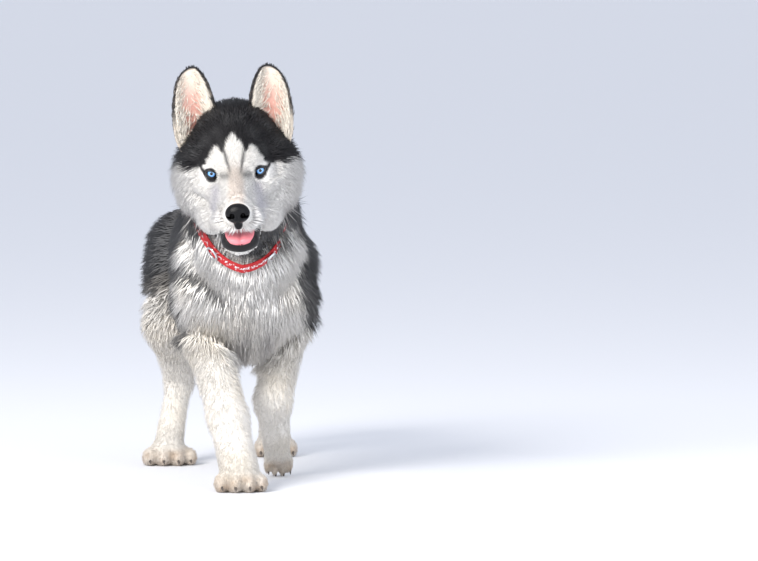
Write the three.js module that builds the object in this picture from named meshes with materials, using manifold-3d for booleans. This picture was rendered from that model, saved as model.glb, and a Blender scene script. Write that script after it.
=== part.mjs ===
// A Siberian husky puppy of about four months, walking, as a still life-size model.
// Millimetres, +Z up. It walks towards -Y, its left side is +X, and the floor is z = 0.
// The outer form of the coat is one smooth field. The parts are netted from it over shared grids, so that
// neighbours share one surface, and they are then parted by thin cuts.
import * as THREE from "three";
import { mergeVertices } from "three/addons/utils/BufferGeometryUtils.js";
import Module from "manifold-3d";

const wasm = await Module();
wasm.setup();

// Driving sizes.
const withers = 392; // height of the back over the shoulders, coat included
const bodyWidth = 192; // across the shoulders, ribs and thighs, coat included
const headPitch = THREE.MathUtils.degToRad(20); // the muzzle points down this far
const headRoll = THREE.MathUtils.degToRad(-3.8); // the crown leans to the dog's right
const bodyYaw = 0.1445; // slope of the spine, whose rump trails to the dog's right
const eyeSpan = 59; // between the pupils
const eyeRadius = 10.5;
const eyeTilt = THREE.MathUtils.degToRad(27); // the outer corners of the eyes sit higher
const gape = THREE.MathUtils.degToRad(17); // how far the lower jaw hangs open
const gap = 0.3; // air between neighbouring nodes
const collarWidth = 12;
const collarThick = 3;
const bodyCell = 23.5; // grid of the trunk
const legCellSize = 17;
const headCell = 10.8;
const jawCell = 8.5;

const half = bodyWidth / 2 - 10; // the joins between the forms add the rest
const vec = (x, y, z) => new THREE.Vector3(x, y, z);
const lerp = THREE.MathUtils.lerp;

// Frames.
// A place on the body: how far behind the chest, how far to the dog's left, and how high.
const spineStart = vec(15, -20, 0);
const rearward = vec(-bodyYaw, 1, 0).normalize();
const leftward = vec(1, bodyYaw, 0).normalize();
const upward = vec(0, 0, 1);
const body = (along, side, height) =>
  spineStart.clone().addScaledVector(rearward, along).addScaledVector(leftward, side).setZ(height);
const bodyAxes = [leftward, rearward, upward];

// A place on the head: to its left, forward of the eyes, and above them.
const eyeLine = vec(0.5, -140, 398);
const headTurn = new THREE.Matrix4()
  .makeRotationY(headRoll)
  .multiply(new THREE.Matrix4().makeRotationX(headPitch));
const headWay = (side, forward, up) => vec(side, -forward, up).transformDirection(headTurn);
const head = (side, forward, up) => vec(side, -forward, up).applyMatrix4(headTurn).add(eyeLine);
const headAxes = [headWay(1, 0, 0), headWay(0, 1, 0), headWay(0, 0, 1)];

// A place on the lower jaw, given as if the mouth were shut, and swung open round the jaw's hinge.
const jawHinge = { forward: -28, up: -44 };
const jawPoint = (side, forward, up) => {
  const f = forward - jawHinge.forward;
  const u = up - jawHinge.up;
  return head(
    side,
    jawHinge.forward + f * Math.cos(gape) + u * Math.sin(gape),
    jawHinge.up - f * Math.sin(gape) + u * Math.cos(gape),
  );
};
const jawForward = headWay(0, Math.cos(gape), -Math.sin(gape));
const jawUp = headWay(0, Math.sin(gape), Math.cos(gape));
const jawAxes = [headAxes[0], jawForward, jawUp];

// Forms of the field.
const smoothUnion = (a, b, blend) => {
  const h = Math.max(blend - Math.abs(a - b), 0) / blend;
  return Math.min(a, b) - h * h * blend * 0.25;
};

const ball = (centre, radii, axes) => (p) => {
  const d = p.clone().sub(centre);
  const q = axes.map((axis, i) => d.dot(axis) / radii[i]);
  const whole = Math.hypot(...q);
  const slope = Math.hypot(...q.map((value, i) => value / radii[i]));
  return whole < 1e-6 ? -Math.min(...radii) : (whole * (whole - 1)) / slope;
};

const limb = (from, to, radiusFrom, radiusTo) => {
  const run = to.clone().sub(from);
  const squared = run.lengthSq();
  return (p) => {
    const d = p.clone().sub(from);
    const t = THREE.MathUtils.clamp(d.dot(run) / squared, 0, 1);
    return d.addScaledVector(run, -t).length() - lerp(radiusFrom, radiusTo, t);
  };
};

// Several forms run together into one, each with its own softness of join.
const flesh = (forms) => (p) =>
  forms.reduce((sum, { form, blend }) => smoothUnion(sum, form(p), blend), 1e3);
const soft = (blend, ...forms) => forms.map((form) => ({ form, blend }));
const bothSides = (make) => [make(-1), make(1)];

// Skeleton: the joints of the walking pose.
const legs = {
  fore_right: {
    top: body(56, -50, 282), joint: body(42, -50, 186), low: body(-25, -31, 88),
    knuckle: body(-62, -21, 26), planted: true, spread: 1.1,
  },
  fore_left: {
    top: body(62, 50, 282), joint: body(98, 60, 206), low: body(76, 38, 100),
    knuckle: body(110, 48, 31), planted: false, spread: 0.62,
  },
  hind_right: {
    top: body(338, -46, 282), joint: body(284, -66, 184), low: body(346, -52, 106),
    knuckle: body(310, -70, 24), planted: true, spread: 1.18,
  },
  hind_left: {
    top: body(342, 46, 282), joint: body(326, 62, 172), low: body(412, 80, 112),
    knuckle: body(412, 82, 25), planted: true, spread: 0.95,
  },
};

const trunkForms = [
  ...soft(40,
    ball(body(135, 0, withers - 130), [half, 150, 112], bodyAxes), // ribs
    ball(body(38, 0, 246), [71, 60, 86], bodyAxes), // fore chest
    ball(body(95, 0, withers - 52), [38, 80, 44], bodyAxes), // withers
    ball(body(248, 0, 282), [half - 8, 110, 86], bodyAxes), // loin and belly
    ball(body(338, 0, 290), [60, 68, 78], bodyAxes), // croup
    ball(body(72, 0, 188), [34, 52, 32], bodyAxes), // brisket
  ),
  ...soft(30,
    ...bothSides((s) => limb(body(95, s * 30, 322), body(46, s * 51, 236), 30, 42)), // shoulder blades
    ...bothSides((s) => ball(body(322, s * 50, 256), [43, 58, 66], bodyAxes)), // haunches
  ),
];

const neckStart = head(0, -62, 6);
const neckForms = soft(34,
  limb(neckStart, body(70, 0, 308), 54, 74),
  ball(body(6, 0, 300), [52, 40, 46], bodyAxes), // throat and ruff
);

const thighForms = [
  ...soft(26, limb(legs.fore_right.top, legs.fore_right.joint, 40, 33)),
  ...soft(26, limb(legs.fore_left.top, legs.fore_left.joint, 40, 33)),
  ...soft(28, limb(legs.hind_right.top, legs.hind_right.joint, 46, 37)),
  ...soft(28, limb(legs.hind_left.top, legs.hind_left.joint, 46, 36)),
];
const shankForms = {
  fore_right: [
    ...soft(18, limb(legs.fore_right.joint, legs.fore_right.low, 31, 26)),
    ...soft(14, limb(legs.fore_right.low, legs.fore_right.knuckle, 26, 25)),
  ],
  fore_left: [
    ...soft(18, limb(legs.fore_left.joint, legs.fore_left.low, 31, 25)),
    ...soft(14, limb(legs.fore_left.low, legs.fore_left.knuckle, 24, 17)),
  ],
  hind_right: [
    ...soft(22, limb(legs.hind_right.joint, legs.hind_right.low, 35, 20)),
    ...soft(14, limb(legs.hind_right.low, legs.hind_right.knuckle, 18.5, 19.5)),
  ],
  hind_left: [
    ...soft(22, limb(legs.hind_left.joint, legs.hind_left.low, 35, 20)),
    ...soft(14, limb(legs.hind_left.low, legs.hind_left.knuckle, 19, 22)),
  ],
};

const eyeCentre = (s) => head((s * eyeSpan) / 2, -4.5, 0);
const headForms = [
  ...soft(20,
    ball(head(0, -46, 18), [49, 54, 46], headAxes), // cranium
    ...bothSides((s) => ball(head(s * 35, -44, -16), [38, 42, 42], headAxes)), // cheeks
    limb(head(0, -30, -34), head(0, 6, -34), 44, 28), // root of the muzzle
  ),
  ...soft(14,
    limb(head(0, 0, -5), head(0, 54, -26), 23, 14), // bridge
    ...bothSides((s) => limb(head(s * 14, 10, -37), head(s * 10, 45, -41), 20, 17)), // whisker pads
    ...bothSides((s) => ball(head(s * 21, -5, 16), [17, 14, 12], headAxes)), // brows
    ...bothSides((s) => ball(head(s * 36, -4, -18), [15, 14, 12], headAxes)), // cheekbones
  ),
  ...soft(6, ...bothSides((s) => ball(eyeCentre(s), [13.4, 11.4, 11.8], headAxes))), // lids
];

const jawField = flesh([
  ...soft(12,
    limb(jawPoint(0, -14, -62), jawPoint(0, 42, -62), 21, 14),
    ...bothSides((s) => limb(jawPoint(s * 15, 0, -57), jawPoint(s * 11.5, 43, -57), 12, 11)),
  ),
]);

const tailPath = [
  body(388, 0, 318), body(430, 2, 300), body(458, 4, 254), body(470, 5, 200), body(468, 4, 148), body(456, 2, 104),
];
const tailRadii = [26, 22, 21, 20, 16, 8];

const trunkField = flesh([...trunkForms, ...neckForms, ...thighForms]);
const legField = (name) => flesh([...trunkForms, ...neckForms, ...thighForms, ...shankForms[name]]);
const headField = flesh([...headForms, ...neckForms]);
const neckField = flesh([...trunkForms, ...neckForms, ...headForms]);

// Solids.
const toSolid = (geometry) => {
  const bare = new THREE.BufferGeometry().setAttribute("position", geometry.getAttribute("position"));
  if (geometry.index) bare.setIndex(geometry.index);
  const merged = mergeVertices(bare, 1e-3);
  return new wasm.Manifold(new wasm.Mesh({
    numProp: 3,
    vertProperties: merged.attributes.position.array,
    triVerts: new Uint32Array(merged.index.array),
  }));
};

const largest = (solid) =>
  solid.decompose().reduce((best, piece) => (piece.volume() > best.volume() ? piece : best));
const union = (solids) => solids.reduce((sum, solid) => sum.add(solid));
const righted = ([side, forward]) => [side, forward, side.clone().cross(forward).normalize()];
const placed = (geometry, centre, axes, scale = [1, 1, 1]) =>
  toSolid(geometry.clone().scale(...scale).applyMatrix4(
    new THREE.Matrix4().makeBasis(...righted(axes)).setPosition(centre)));
const rounded = (centre, radii, axes, wide = 10, high = 7) =>
  placed(new THREE.SphereGeometry(1, wide, high), centre, axes, radii);
const block = (centre, size, axes) => placed(new THREE.BoxGeometry(...size), centre, axes);

// The half of space that a plane's normal points into, as a large block.
const far = 1200;
const beyond = (point, normal, clear = 0) => {
  const side = Math.abs(normal.z) < 0.9 ? upward.clone().cross(normal).normalize() : vec(1, 0, 0);
  const other = normal.clone().cross(side).normalize();
  return block(point.clone().addScaledVector(normal, far / 2 + clear), [far, far, far], [side, other]);
};
const parting = (point, normal) => ({
  before: beyond(point, normal.clone().negate(), gap / 2),
  after: beyond(point, normal, gap / 2),
});
const floorUp = beyond(vec(0, 0, 0), upward);

const slopeOf = (field, p) => {
  const e = 0.4;
  const along = (x, y, z) => field(vec(p.x + x, p.y + y, p.z + z)) - field(vec(p.x - x, p.y - y, p.z - z));
  return vec(along(e, 0, 0), along(0, e, 0), along(0, 0, e)).divideScalar(2 * e);
};

// A closed skin over a field, one corner for every cell of the grid that the surface passes through.
function netted(field, low, high, cell) {
  const from = low.toArray().map((value) => Math.floor(value / cell) * cell + 0.37);
  const count = high.toArray().map((value, i) => Math.ceil((value - from[i]) / cell) + 1);
  const strides = [1, count[0], count[0] * count[1]];
  const values = new Float64Array(strides[2] * count[2]);
  const nodeAt = (i, j, k) => vec(from[0] + i * cell, from[1] + j * cell, from[2] + k * cell);
  const edge = (index, i) => index === 0 || index === count[i] - 1;
  for (let k = 0; k < count[2]; k++) {
    for (let j = 0; j < count[1]; j++) {
      for (let i = 0; i < count[0]; i++) {
        const value = field(nodeAt(i, j, k));
        const outer = edge(i, 0) || edge(j, 1) || edge(k, 2);
        values[i + j * strides[1] + k * strides[2]] = outer ? Math.max(value, 0.5) : value;
      }
    }
  }
  const corners = new Map();
  const positions = [];
  for (let k = 0; k + 1 < count[2]; k++) {
    for (let j = 0; j + 1 < count[1]; j++) {
      for (let i = 0; i + 1 < count[0]; i++) {
        const base = i + j * strides[1] + k * strides[2];
        const sum = vec(0, 0, 0);
        let crossings = 0;
        for (let axis = 0; axis < 3; axis++) {
          for (let n = 0; n < 4; n++) {
            const at = [0, 0, 0];
            at[(axis + 1) % 3] = n & 1;
            at[(axis + 2) % 3] = n >> 1;
            const a = values[base + at[0] + at[1] * strides[1] + at[2] * strides[2]];
            const b = values[base + at[0] + at[1] * strides[1] + at[2] * strides[2] + strides[axis]];
            if (a < 0 === b < 0) continue;
            at[axis] = a / (a - b);
            sum.add(nodeAt(i + at[0], j + at[1], k + at[2]));
            crossings += 1;
          }
        }
        if (!crossings) continue;
        const start = sum.divideScalar(crossings);
        const p = start.clone();
        for (let step = 0; step < 4; step++) {
          const slope = slopeOf(field, p);
          p.addScaledVector(slope, -field(p) / Math.max(slope.lengthSq(), 0.1));
        }
        if (p.distanceTo(start) > cell * 0.5) p.copy(start);
        corners.set(base, positions.length / 3);
        positions.push(p.x, p.y, p.z);
      }
    }
  }
  const faces = [];
  const place = (index) => vec(...positions.slice(index * 3, index * 3 + 3));
  for (let k = 0; k + 1 < count[2]; k++) {
    for (let j = 0; j + 1 < count[1]; j++) {
      for (let i = 0; i + 1 < count[0]; i++) {
        const base = i + j * strides[1] + k * strides[2];
        for (let axis = 0; axis < 3; axis++) {
          const inside = values[base] < 0;
          if (inside === values[base + strides[axis]] < 0) continue;
          const b = strides[(axis + 1) % 3];
          const c = strides[(axis + 2) % 3];
          const quad = [base - b - c, base - c, base, base - b].map((cellIndex) => corners.get(cellIndex));
          if (!inside) quad.reverse();
          const [p, q, r, s] = quad.map(place);
          const order = p.distanceTo(r) < q.distanceTo(s) ? [0, 1, 2, 0, 2, 3] : [1, 2, 3, 1, 3, 0];
          faces.push(...order.map((n) => quad[n]));
        }
      }
    }
  }
  return new wasm.Manifold(new wasm.Mesh({
    numProp: 3,
    vertProperties: new Float32Array(positions),
    triVerts: new Uint32Array(faces),
  }));
}

// A closed sheet between two grids of the same size, front and back.
function sheet(front, back) {
  const rows = front.length;
  const columns = front[0].length;
  const positions = [...front.flat(), ...back.flat()].flatMap((p) => p.toArray());
  const f = (i, j) => i * columns + j;
  const b = (i, j) => rows * columns + i * columns + j;
  const faces = [];
  const quad = (p, q, r, s) => faces.push(p, q, r, p, r, s);
  for (let i = 0; i + 1 < rows; i++) {
    for (let j = 0; j + 1 < columns; j++) {
      quad(f(i, j), f(i, j + 1), f(i + 1, j + 1), f(i + 1, j));
      quad(b(i, j), b(i + 1, j), b(i + 1, j + 1), b(i, j + 1));
    }
    quad(f(i, 0), f(i + 1, 0), b(i + 1, 0), b(i, 0));
    quad(f(i + 1, columns - 1), f(i, columns - 1), b(i, columns - 1), b(i + 1, columns - 1));
  }
  for (let j = 0; j + 1 < columns; j++) {
    quad(f(0, j + 1), f(0, j), b(0, j), b(0, j + 1));
    quad(f(rows - 1, j), f(rows - 1, j + 1), b(rows - 1, j + 1), b(rows - 1, j));
  }
  const geometry = new THREE.BufferGeometry()
    .setAttribute("position", new THREE.Float32BufferAttribute(positions, 3))
    .setIndex(faces);
  const solid = toSolid(geometry);
  return solid.volume() > 0 ? solid : toSolid(geometry.setIndex(faces.reverse()));
}

// A tube of varying oval section along a path; the ends are closed flat or to a point.
function tube(path, radii, sides, steps, flatten = 1, facing = leftward) {
  const curve = new THREE.CatmullRomCurve3(path, false, "centripetal");
  const positions = [];
  for (let i = 0; i <= steps; i++) {
    const at = curve.getPoint(i / steps);
    const tangent = curve.getTangent(i / steps);
    const wide = facing.clone().addScaledVector(tangent, -facing.dot(tangent)).normalize();
    const thick = tangent.clone().cross(wide);
    const where = (i / steps) * (radii.length - 1);
    const index = Math.min(Math.floor(where), radii.length - 2);
    const radius = lerp(radii[index], radii[index + 1], where - index);
    for (let k = 0; k < sides; k++) {
      const turn = ((k + 0.5) / sides) * Math.PI * 2;
      const p = at.clone().addScaledVector(wide, Math.cos(turn) * radius)
        .addScaledVector(thick, Math.sin(turn) * radius * flatten);
      positions.push(...p.toArray());
    }
  }
  const first = positions.length / 3;
  positions.push(...curve.getPoint(0).toArray(), ...curve.getPoint(1).toArray());
  const faces = [];
  for (let k = 0; k < sides; k++) {
    const next = (k + 1) % sides;
    faces.push(first, next, k, first + 1, steps * sides + k, steps * sides + next);
    for (let i = 0; i < steps; i++) {
      const a = i * sides;
      faces.push(a + k, a + next, a + sides + next, a + k, a + sides + next, a + sides + k);
    }
  }
  return toSolid(new THREE.BufferGeometry()
    .setAttribute("position", new THREE.Float32BufferAttribute(positions, 3))
    .setIndex(faces));
}

// Cuts between the parts.
const neckWay = body(70, 0, 308).sub(neckStart).normalize();
const nape = parting(vec(0, -64, 398), vec(0, 0.972, -0.237)); // head before it, neck after it
const ruff = parting(body(26, 0, 326), neckWay.clone().lerp(rearward, 0.25).normalize());
const tailRoot = parting(body(403, 0, 310), rearward.clone().addScaledVector(upward, 0.25).normalize());

// A leg keeps what lies near its own bones, outside a slanting plane through its armpit or groin.
const legCells = {
  fore_right: { side: -1, pit: 22, low: 150, shoulder: 54, high: 330, reach: [56, 54, 52, 50, 50] },
  fore_left: { side: 1, pit: 22, low: 150, shoulder: 54, high: 330, reach: [56, 54, 52, 50, 50] },
  hind_right: { side: -1, pit: 25, low: 173, shoulder: 55, high: 330, reach: [66, 64, 56, 46, 50] },
  hind_left: { side: 1, pit: 25, low: 173, shoulder: 55, high: 330, reach: [66, 64, 56, 46, 50] },
};
const legCell = (name, grow) => {
  const { side, pit, low, shoulder, high, reach } = legCells[name];
  const { top, joint, low: shank, knuckle } = legs[name];
  const outward = leftward.clone().multiplyScalar(side * (high - low))
    .addScaledVector(upward, pit - shoulder).normalize();
  const foot = knuckle.clone().sub(shank).setLength(70).add(knuckle);
  const crest = top.clone().addScaledVector(upward, 46 + grow);
  return tube([crest, top, joint, shank, foot], reach.map((r) => r + grow), 14, 8)
    .intersect(beyond(body(100, side * pit, low), outward, -grow));
};

// Head.
const boxAround = (points, margin) => {
  const box = new THREE.Box3().setFromPoints(points).expandByScalar(margin);
  return [box.min, box.max];
};
const headBox = boxAround([head(-40, -50, 30), head(40, -50, -30), head(0, 60, -40), head(0, -100, 20)], 60);
const headShape = netted(headField, ...headBox, headCell);
const headGrown = netted((p) => headField(p) - 0.8, ...headBox, headCell);

const almond = (s) => {
  const outline = new THREE.Shape();
  outline.moveTo(-8.8, 0);
  outline.quadraticCurveTo(-1, 12, 8.8, 0);
  outline.quadraticCurveTo(0, -9.6, -8.8, 0);
  const prism = new THREE.ExtrudeGeometry(outline, { depth: 30, bevelEnabled: false, curveSegments: 5 });
  const turn = new THREE.Matrix4().makeRotationZ(s * eyeTilt);
  const axes = [headAxes[0], headAxes[2]];
  return placed(prism.applyMatrix4(turn), eyeCentre(s), axes);
};

const noseCentre = head(0, 64, -28);
const noseBody = (extra) => rounded(noseCentre, [15 + extra, 10 + extra, 12.3 + extra], headAxes, 12, 7);
const mouthHollow = rounded(head(0, 26, -59), [15, 36, 9], headAxes, 12, 7);
const eyeHoles = bothSides((s) => almond(s).add(rounded(eyeCentre(s), Array(3).fill(eyeRadius + gap), headAxes, 12, 8)));

const jawBox = boxAround([jawPoint(0, -10, -60), jawPoint(0, 46, -60)], 34);
const jawShape = netted(jawField, ...jawBox, jawCell);
const jawGrown = netted((p) => jawField(p) - 0.7, ...jawBox, jawCell);
const jawTrough = rounded(jawPoint(0, 16, -43), [19, 47, 9.5], jawAxes, 12, 7);

const tonguePath = [jawPoint(0, -16, -52), jawPoint(0, 4, -47), jawPoint(0, 28, -46), jawPoint(0, 46, -48)];
const tongueShape = tube(tonguePath, [10, 14.5, 17.5, 17, 13.5], 10, 5, 0.27, headAxes[0])
  .add(rounded(jawPoint(0, 46, -48), [14, 9, 3.8], jawAxes, 10, 6));

// An ear is a cup open forwards: its edges are read from the front, and its middle lies further back.
const earRows = 6;
const earColumns = 5;
const earInner = [[14, 26, -62], [18, 52, -61], [21.5, 72, -60], [27.5, 92, -60], [36, 107, -61], [45, 117, -62]];
const earOuter = [[62, 2, -46], [71, 22, -50], [74, 46, -54], [72.5, 70, -57], [66, 92, -60], [54, 113, -62]];
const earEdge = (points, s) => new THREE.CatmullRomCurve3(points.map(([a, u, f]) => head(s * a, f, u - (s > 0 ? u * 0.03 : 0))));
const earSolid = (s) => {
  const inner = earEdge(earInner, s);
  const outer = earEdge(earOuter, s);
  const grids = [0, 1].map((layer) => Array.from({ length: earRows }, (_, i) =>
    Array.from({ length: earColumns }, (_, j) => {
      const t = i / (earRows - 1);
      const across = j / (earColumns - 1);
      const depth = lerp(21, 3, t) * (1 - (2 * across - 1) ** 2);
      const edge = Math.min(across, 1 - across) * 2;
      const thick = layer * lerp(2.6, 5.5, Math.min(edge * 1.5, 1));
      return inner.getPoint(t).lerp(outer.getPoint(t), across).addScaledVector(headAxes[1], -depth - thick);
    })));
  return sheet(...grids);
};

const parts = {}; // every node's solid, by name

parts.head = headShape
  .intersect(nape.before)
  .subtract(mouthHollow)
  .subtract(noseBody(gap))
  .subtract(jawGrown)
  .subtract(union(eyeHoles));
const nostrils = bothSides((s) => rounded(head(s * 7, 72, -29), [3.2, 6, 3.6], headAxes, 6, 5)
  .add(rounded(head(s * 11.5, 69, -32), [3.6, 6, 1.8], headAxes, 6, 5)));
parts.nose = noseBody(0).subtract(union(nostrils));
parts.lower_jaw = jawShape.subtract(jawTrough);
parts.tongue = tongueShape.subtract(jawGrown.subtract(jawTrough)).subtract(headGrown.subtract(mouthHollow));
for (const [side, s] of [["left", 1], ["right", -1]]) {
  parts["eye_" + side] = rounded(eyeCentre(s), Array(3).fill(eyeRadius), headAxes, 12, 8);
  parts["ear_" + side] = earSolid(s).subtract(headGrown);
}

// Trunk, neck and tail.
const trunkBox = [vec(-190, -90, 100), vec(190, 470, 460)];
const neckBox = [vec(-150, -200, 200), vec(150, 140, 480)];
parts.torso = Object.keys(legs).reduce((rest, name) => rest.subtract(legCell(name, gap)),
  netted(trunkField, ...trunkBox, bodyCell).intersect(ruff.after).intersect(tailRoot.before));
parts.neck = netted(neckField, ...neckBox, bodyCell).intersect(nape.after).intersect(ruff.before)
  .subtract(jawGrown);
parts.tail = tube(tailPath, tailRadii, 10, 9, 0.92).intersect(tailRoot.after);

// Legs and paws.
const toe = (at, forward, spread, size) =>
  rounded(at, [8.6 * spread, 16 * size, 12 * size], [leftward, forward], 7, 5);
const claw = (tip, way) => {
  const cone = new THREE.ConeGeometry(2.6, 13, 4).rotateX(Math.PI / 2).translate(0, 0, -6.5);
  const side = leftward.clone().addScaledVector(way, -leftward.dot(way)).normalize();
  const turn = new THREE.Matrix4().makeBasis(side, way.clone().cross(side), way).setPosition(tip);
  return toSolid(cone.applyMatrix4(turn));
};
const toePlaces = [[-22.5, 13], [-8.2, 21], [8.2, 21], [22.5, 13]];
const pawSolid = ({ knuckle, low, planted, spread }) => {
  const pieces = [];
  const ahead = rearward.clone().negate();
  const fold = knuckle.clone().sub(low).normalize();
  const forward = planted ? ahead.clone().addScaledVector(upward, -0.22).normalize() : fold;
  const size = planted ? 1 : 0.82;
  for (const [across, reach] of toePlaces) {
    const at = knuckle.clone().addScaledVector(leftward, across * spread);
    if (planted) at.setZ(10.4).addScaledVector(ahead, reach);
    else at.addScaledVector(fold, reach * 0.6 + 8);
    pieces.push(toe(at, forward, spread, size));
    const tip = at.clone().addScaledVector(forward, 20.5 * size);
    if (planted) tip.setZ(3.4);
    else tip.addScaledVector(ahead, 5);
    pieces.push(claw(tip, planted ? ahead.clone().addScaledVector(upward, -0.3).normalize()
      : fold.clone().addScaledVector(ahead, 0.35).normalize()));
  }
  if (planted) pieces.push(rounded(knuckle.clone().setZ(14), [24 * spread, 27, 18], bodyAxes, 10, 6));
  return union(pieces);
};
for (const [name, leg] of Object.entries(legs)) {
  const [height, side] = name.split("_");
  const box = boxAround([leg.top, leg.joint, leg.low, leg.knuckle], 78);
  const shape = netted(legField(name), ...box, legCellSize)
    .intersect(legCell(name, 0)).intersect(ruff.after);
  const wrist = leg.planted
    ? parting(leg.knuckle.clone().setZ(32), upward.clone().negate())
    : parting(leg.knuckle.clone().lerp(leg.low, 0.16), leg.knuckle.clone().sub(leg.low).normalize());
  parts[`${height}leg_${side}`] = shape.intersect(wrist.before).subtract(tailRoot.after);
  parts[`${height}paw_${side}`] = shape.add(pawSolid(leg)).intersect(wrist.after).intersect(floorUp);
}

// Collar: a flat strap in a groove of the coat, with a ring and a slide.
const collarTop = vec(2, 15, 412);
const collarBottom = vec(-3, -57, 277);
const collarCentre = collarTop.clone().lerp(collarBottom, 0.5);
const collarDown = collarBottom.clone().sub(collarTop).normalize();
const collarLeft = leftward.clone().addScaledVector(collarDown, -leftward.dot(collarDown)).normalize();
const collarSquare = collarLeft.clone().cross(collarDown).normalize(); // square to the strap's plane
const collarWay = (turn) =>
  collarDown.clone().multiplyScalar(Math.cos(turn)).addScaledVector(collarLeft, Math.sin(turn));
const surfaceAlong = (field, from, way) => {
  let near = 20;
  let out = 160;
  for (let i = 0; i < 24; i++) {
    const middle = (near + out) / 2;
    if (field(from.clone().addScaledVector(way, middle)) > 0) out = middle;
    else near = middle;
  }
  return near;
};
const collarRadius = (turn) =>
  Math.min(1 / Math.hypot(Math.sin(turn) / 63, Math.cos(turn) / 80), surfaceAlong(neckField, collarCentre, collarWay(turn)));
const band = (extra) => {
  const count = 32;
  const positions = [];
  for (let i = 0; i < count; i++) {
    const turn = (i / count) * Math.PI * 2;
    const way = collarWay(turn);
    for (const [across, out] of [[-1, -1], [1, -1], [1, 1], [-1, 1]]) {
      const reach = collarRadius(turn) + out * (collarThick / 2 + extra) + (out > 0 && extra > 0 ? 45 : 0);
      const p = collarCentre.clone().addScaledVector(way, reach)
        .addScaledVector(collarSquare, across * (collarWidth / 2 + extra));
      positions.push(...p.toArray());
    }
  }
  const faces = [];
  for (let i = 0; i < count; i++) {
    const next = (i + 1) % count;
    for (let k = 0; k < 4; k++) {
      const [a, b, c, d] = [i * 4 + k, i * 4 + ((k + 1) % 4), next * 4 + ((k + 1) % 4), next * 4 + k];
      faces.push(a, b, c, a, c, d);
    }
  }
  const geometry = new THREE.BufferGeometry()
    .setAttribute("position", new THREE.Float32BufferAttribute(positions, 3))
    .setIndex(faces);
  const solid = toSolid(geometry);
  return solid.volume() > 0 ? solid : toSolid(geometry.setIndex(faces.reverse()));
};
const squareSign = Math.sign(collarSquare.dot(neckWay)); // the strap's square way, turned down the neck
const groove = band(gap);
const onCollar = (turn, out) => collarCentre.clone().addScaledVector(collarWay(turn), collarRadius(turn) + out);
parts.neck = parts.neck.subtract(groove);
parts.head = parts.head.subtract(groove);
parts.collar = band(0);

// The strap's run and its outward normal at a turn, and a place a little way out from it.
const onStrap = (turn, out) => {
  const along = onCollar(turn + 0.06, 0).sub(onCollar(turn - 0.06, 0)).normalize();
  const outward = along.clone().cross(collarSquare).normalize();
  if (outward.dot(collarWay(turn)) < 0) outward.negate();
  return { along, outward, at: onCollar(turn, 0).addScaledVector(outward, collarThick / 2 + out) };
};
const ringTube = 1.5;
const ring = onStrap(-0.42, gap + ringTube + 0.5);
parts.collar_ring = placed(new THREE.TorusGeometry(8.5, ringTube, 6, 14), ring.at, [collarSquare, ring.along]);
const roomDepth = 40;
const ringRoom = placed(
  new THREE.CylinderGeometry(10.6, 10.6, roomDepth, 16),
  ring.at.clone().addScaledVector(ring.outward, roomDepth / 2 - ringTube - gap),
  [collarSquare, ring.outward],
);

const slideThick = 2.6;
const slide = onStrap(0.62, gap + slideThick / 2 + 0.5);
const slideBlock = (wide, high, deep, out) => block(
  slide.at.clone().addScaledVector(slide.outward, out), [wide, high, deep], [collarSquare, slide.along]);
parts.collar_slide = slideBlock(19, 14, slideThick, 0).subtract(slideBlock(13, 3.6, 6, 0));
const slideRoom = slideBlock(19 + 2 * gap, 14 + 2 * gap, roomDepth, roomDepth / 2 - slideThick / 2 - gap);
parts.neck = parts.neck.subtract(ringRoom).subtract(slideRoom);

// Locks of the long coat: cheeks, ruff, chest, breeches and tail.
const seeded = (seed) => () => {
  seed = (seed * 16807) % 2147483647;
  return seed / 2147483647;
};
const draw = seeded(20311);
const between = (low, high) => lerp(low, high, draw());

// One lock: its root is sunk in the coat, and it leans along its lie, rises, widens and ends in a tip.
const lockSunk = 9;
const lock = (root, outward, lie, length, width) => {
  const way = lie.clone().addScaledVector(outward, -lie.dot(outward)).normalize();
  const side = outward.clone().cross(way);
  const bend = between(-0.12, 0.12) * length;
  const at = (along, out, across) => root.clone().addScaledVector(way, along * length)
    .addScaledVector(outward, out).addScaledVector(side, across);
  const path = [at(-0.2, -lockSunk, 0), at(0.25, 1, bend), at(0.65, length * 0.11, bend), at(1, length * 0.08, 0)];
  return tube(path, [width * 0.8, width * 1.15, width * 0.85, 1], 3, 3, 0.5, side);
};

// Places on the coat's surface, met by rays from a point inside it, each with a lock that lies the given way.
const lockFrom = (field, inside, ray, lie, length, width) => {
  const root = inside.clone().addScaledVector(ray, surfaceAlong(field, inside, ray));
  return lock(root, slopeOf(field, root).normalize(), lie, length, width);
};
const clearOf = (solid, others) => others.every((other) => solid.minGap(other, 2 * gap) > gap);
const dress = (name, locks, neighbours) => {
  const others = neighbours.map((other) => (typeof other === "string" ? largest(parts[other]) : other));
  parts[name] = union([parts[name], ...locks.filter((solid) => clearOf(solid, others))]);
};

const cheekLocks = bothSides((s) => Array.from({ length: 9 }, (_, i) => {
  const row = i % 2;
  const turn = lerp(-0.3, 1.15, i / 8);
  const ray = headWay(s * Math.cos(turn), 0.1 - row * 0.3, -Math.sin(turn)).normalize();
  return lockFrom(headField, head(0, -40, -14), ray, headWay(s * 0.35, -0.8, -0.75), between(24, 31), between(7, 9));
})).flat();

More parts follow.
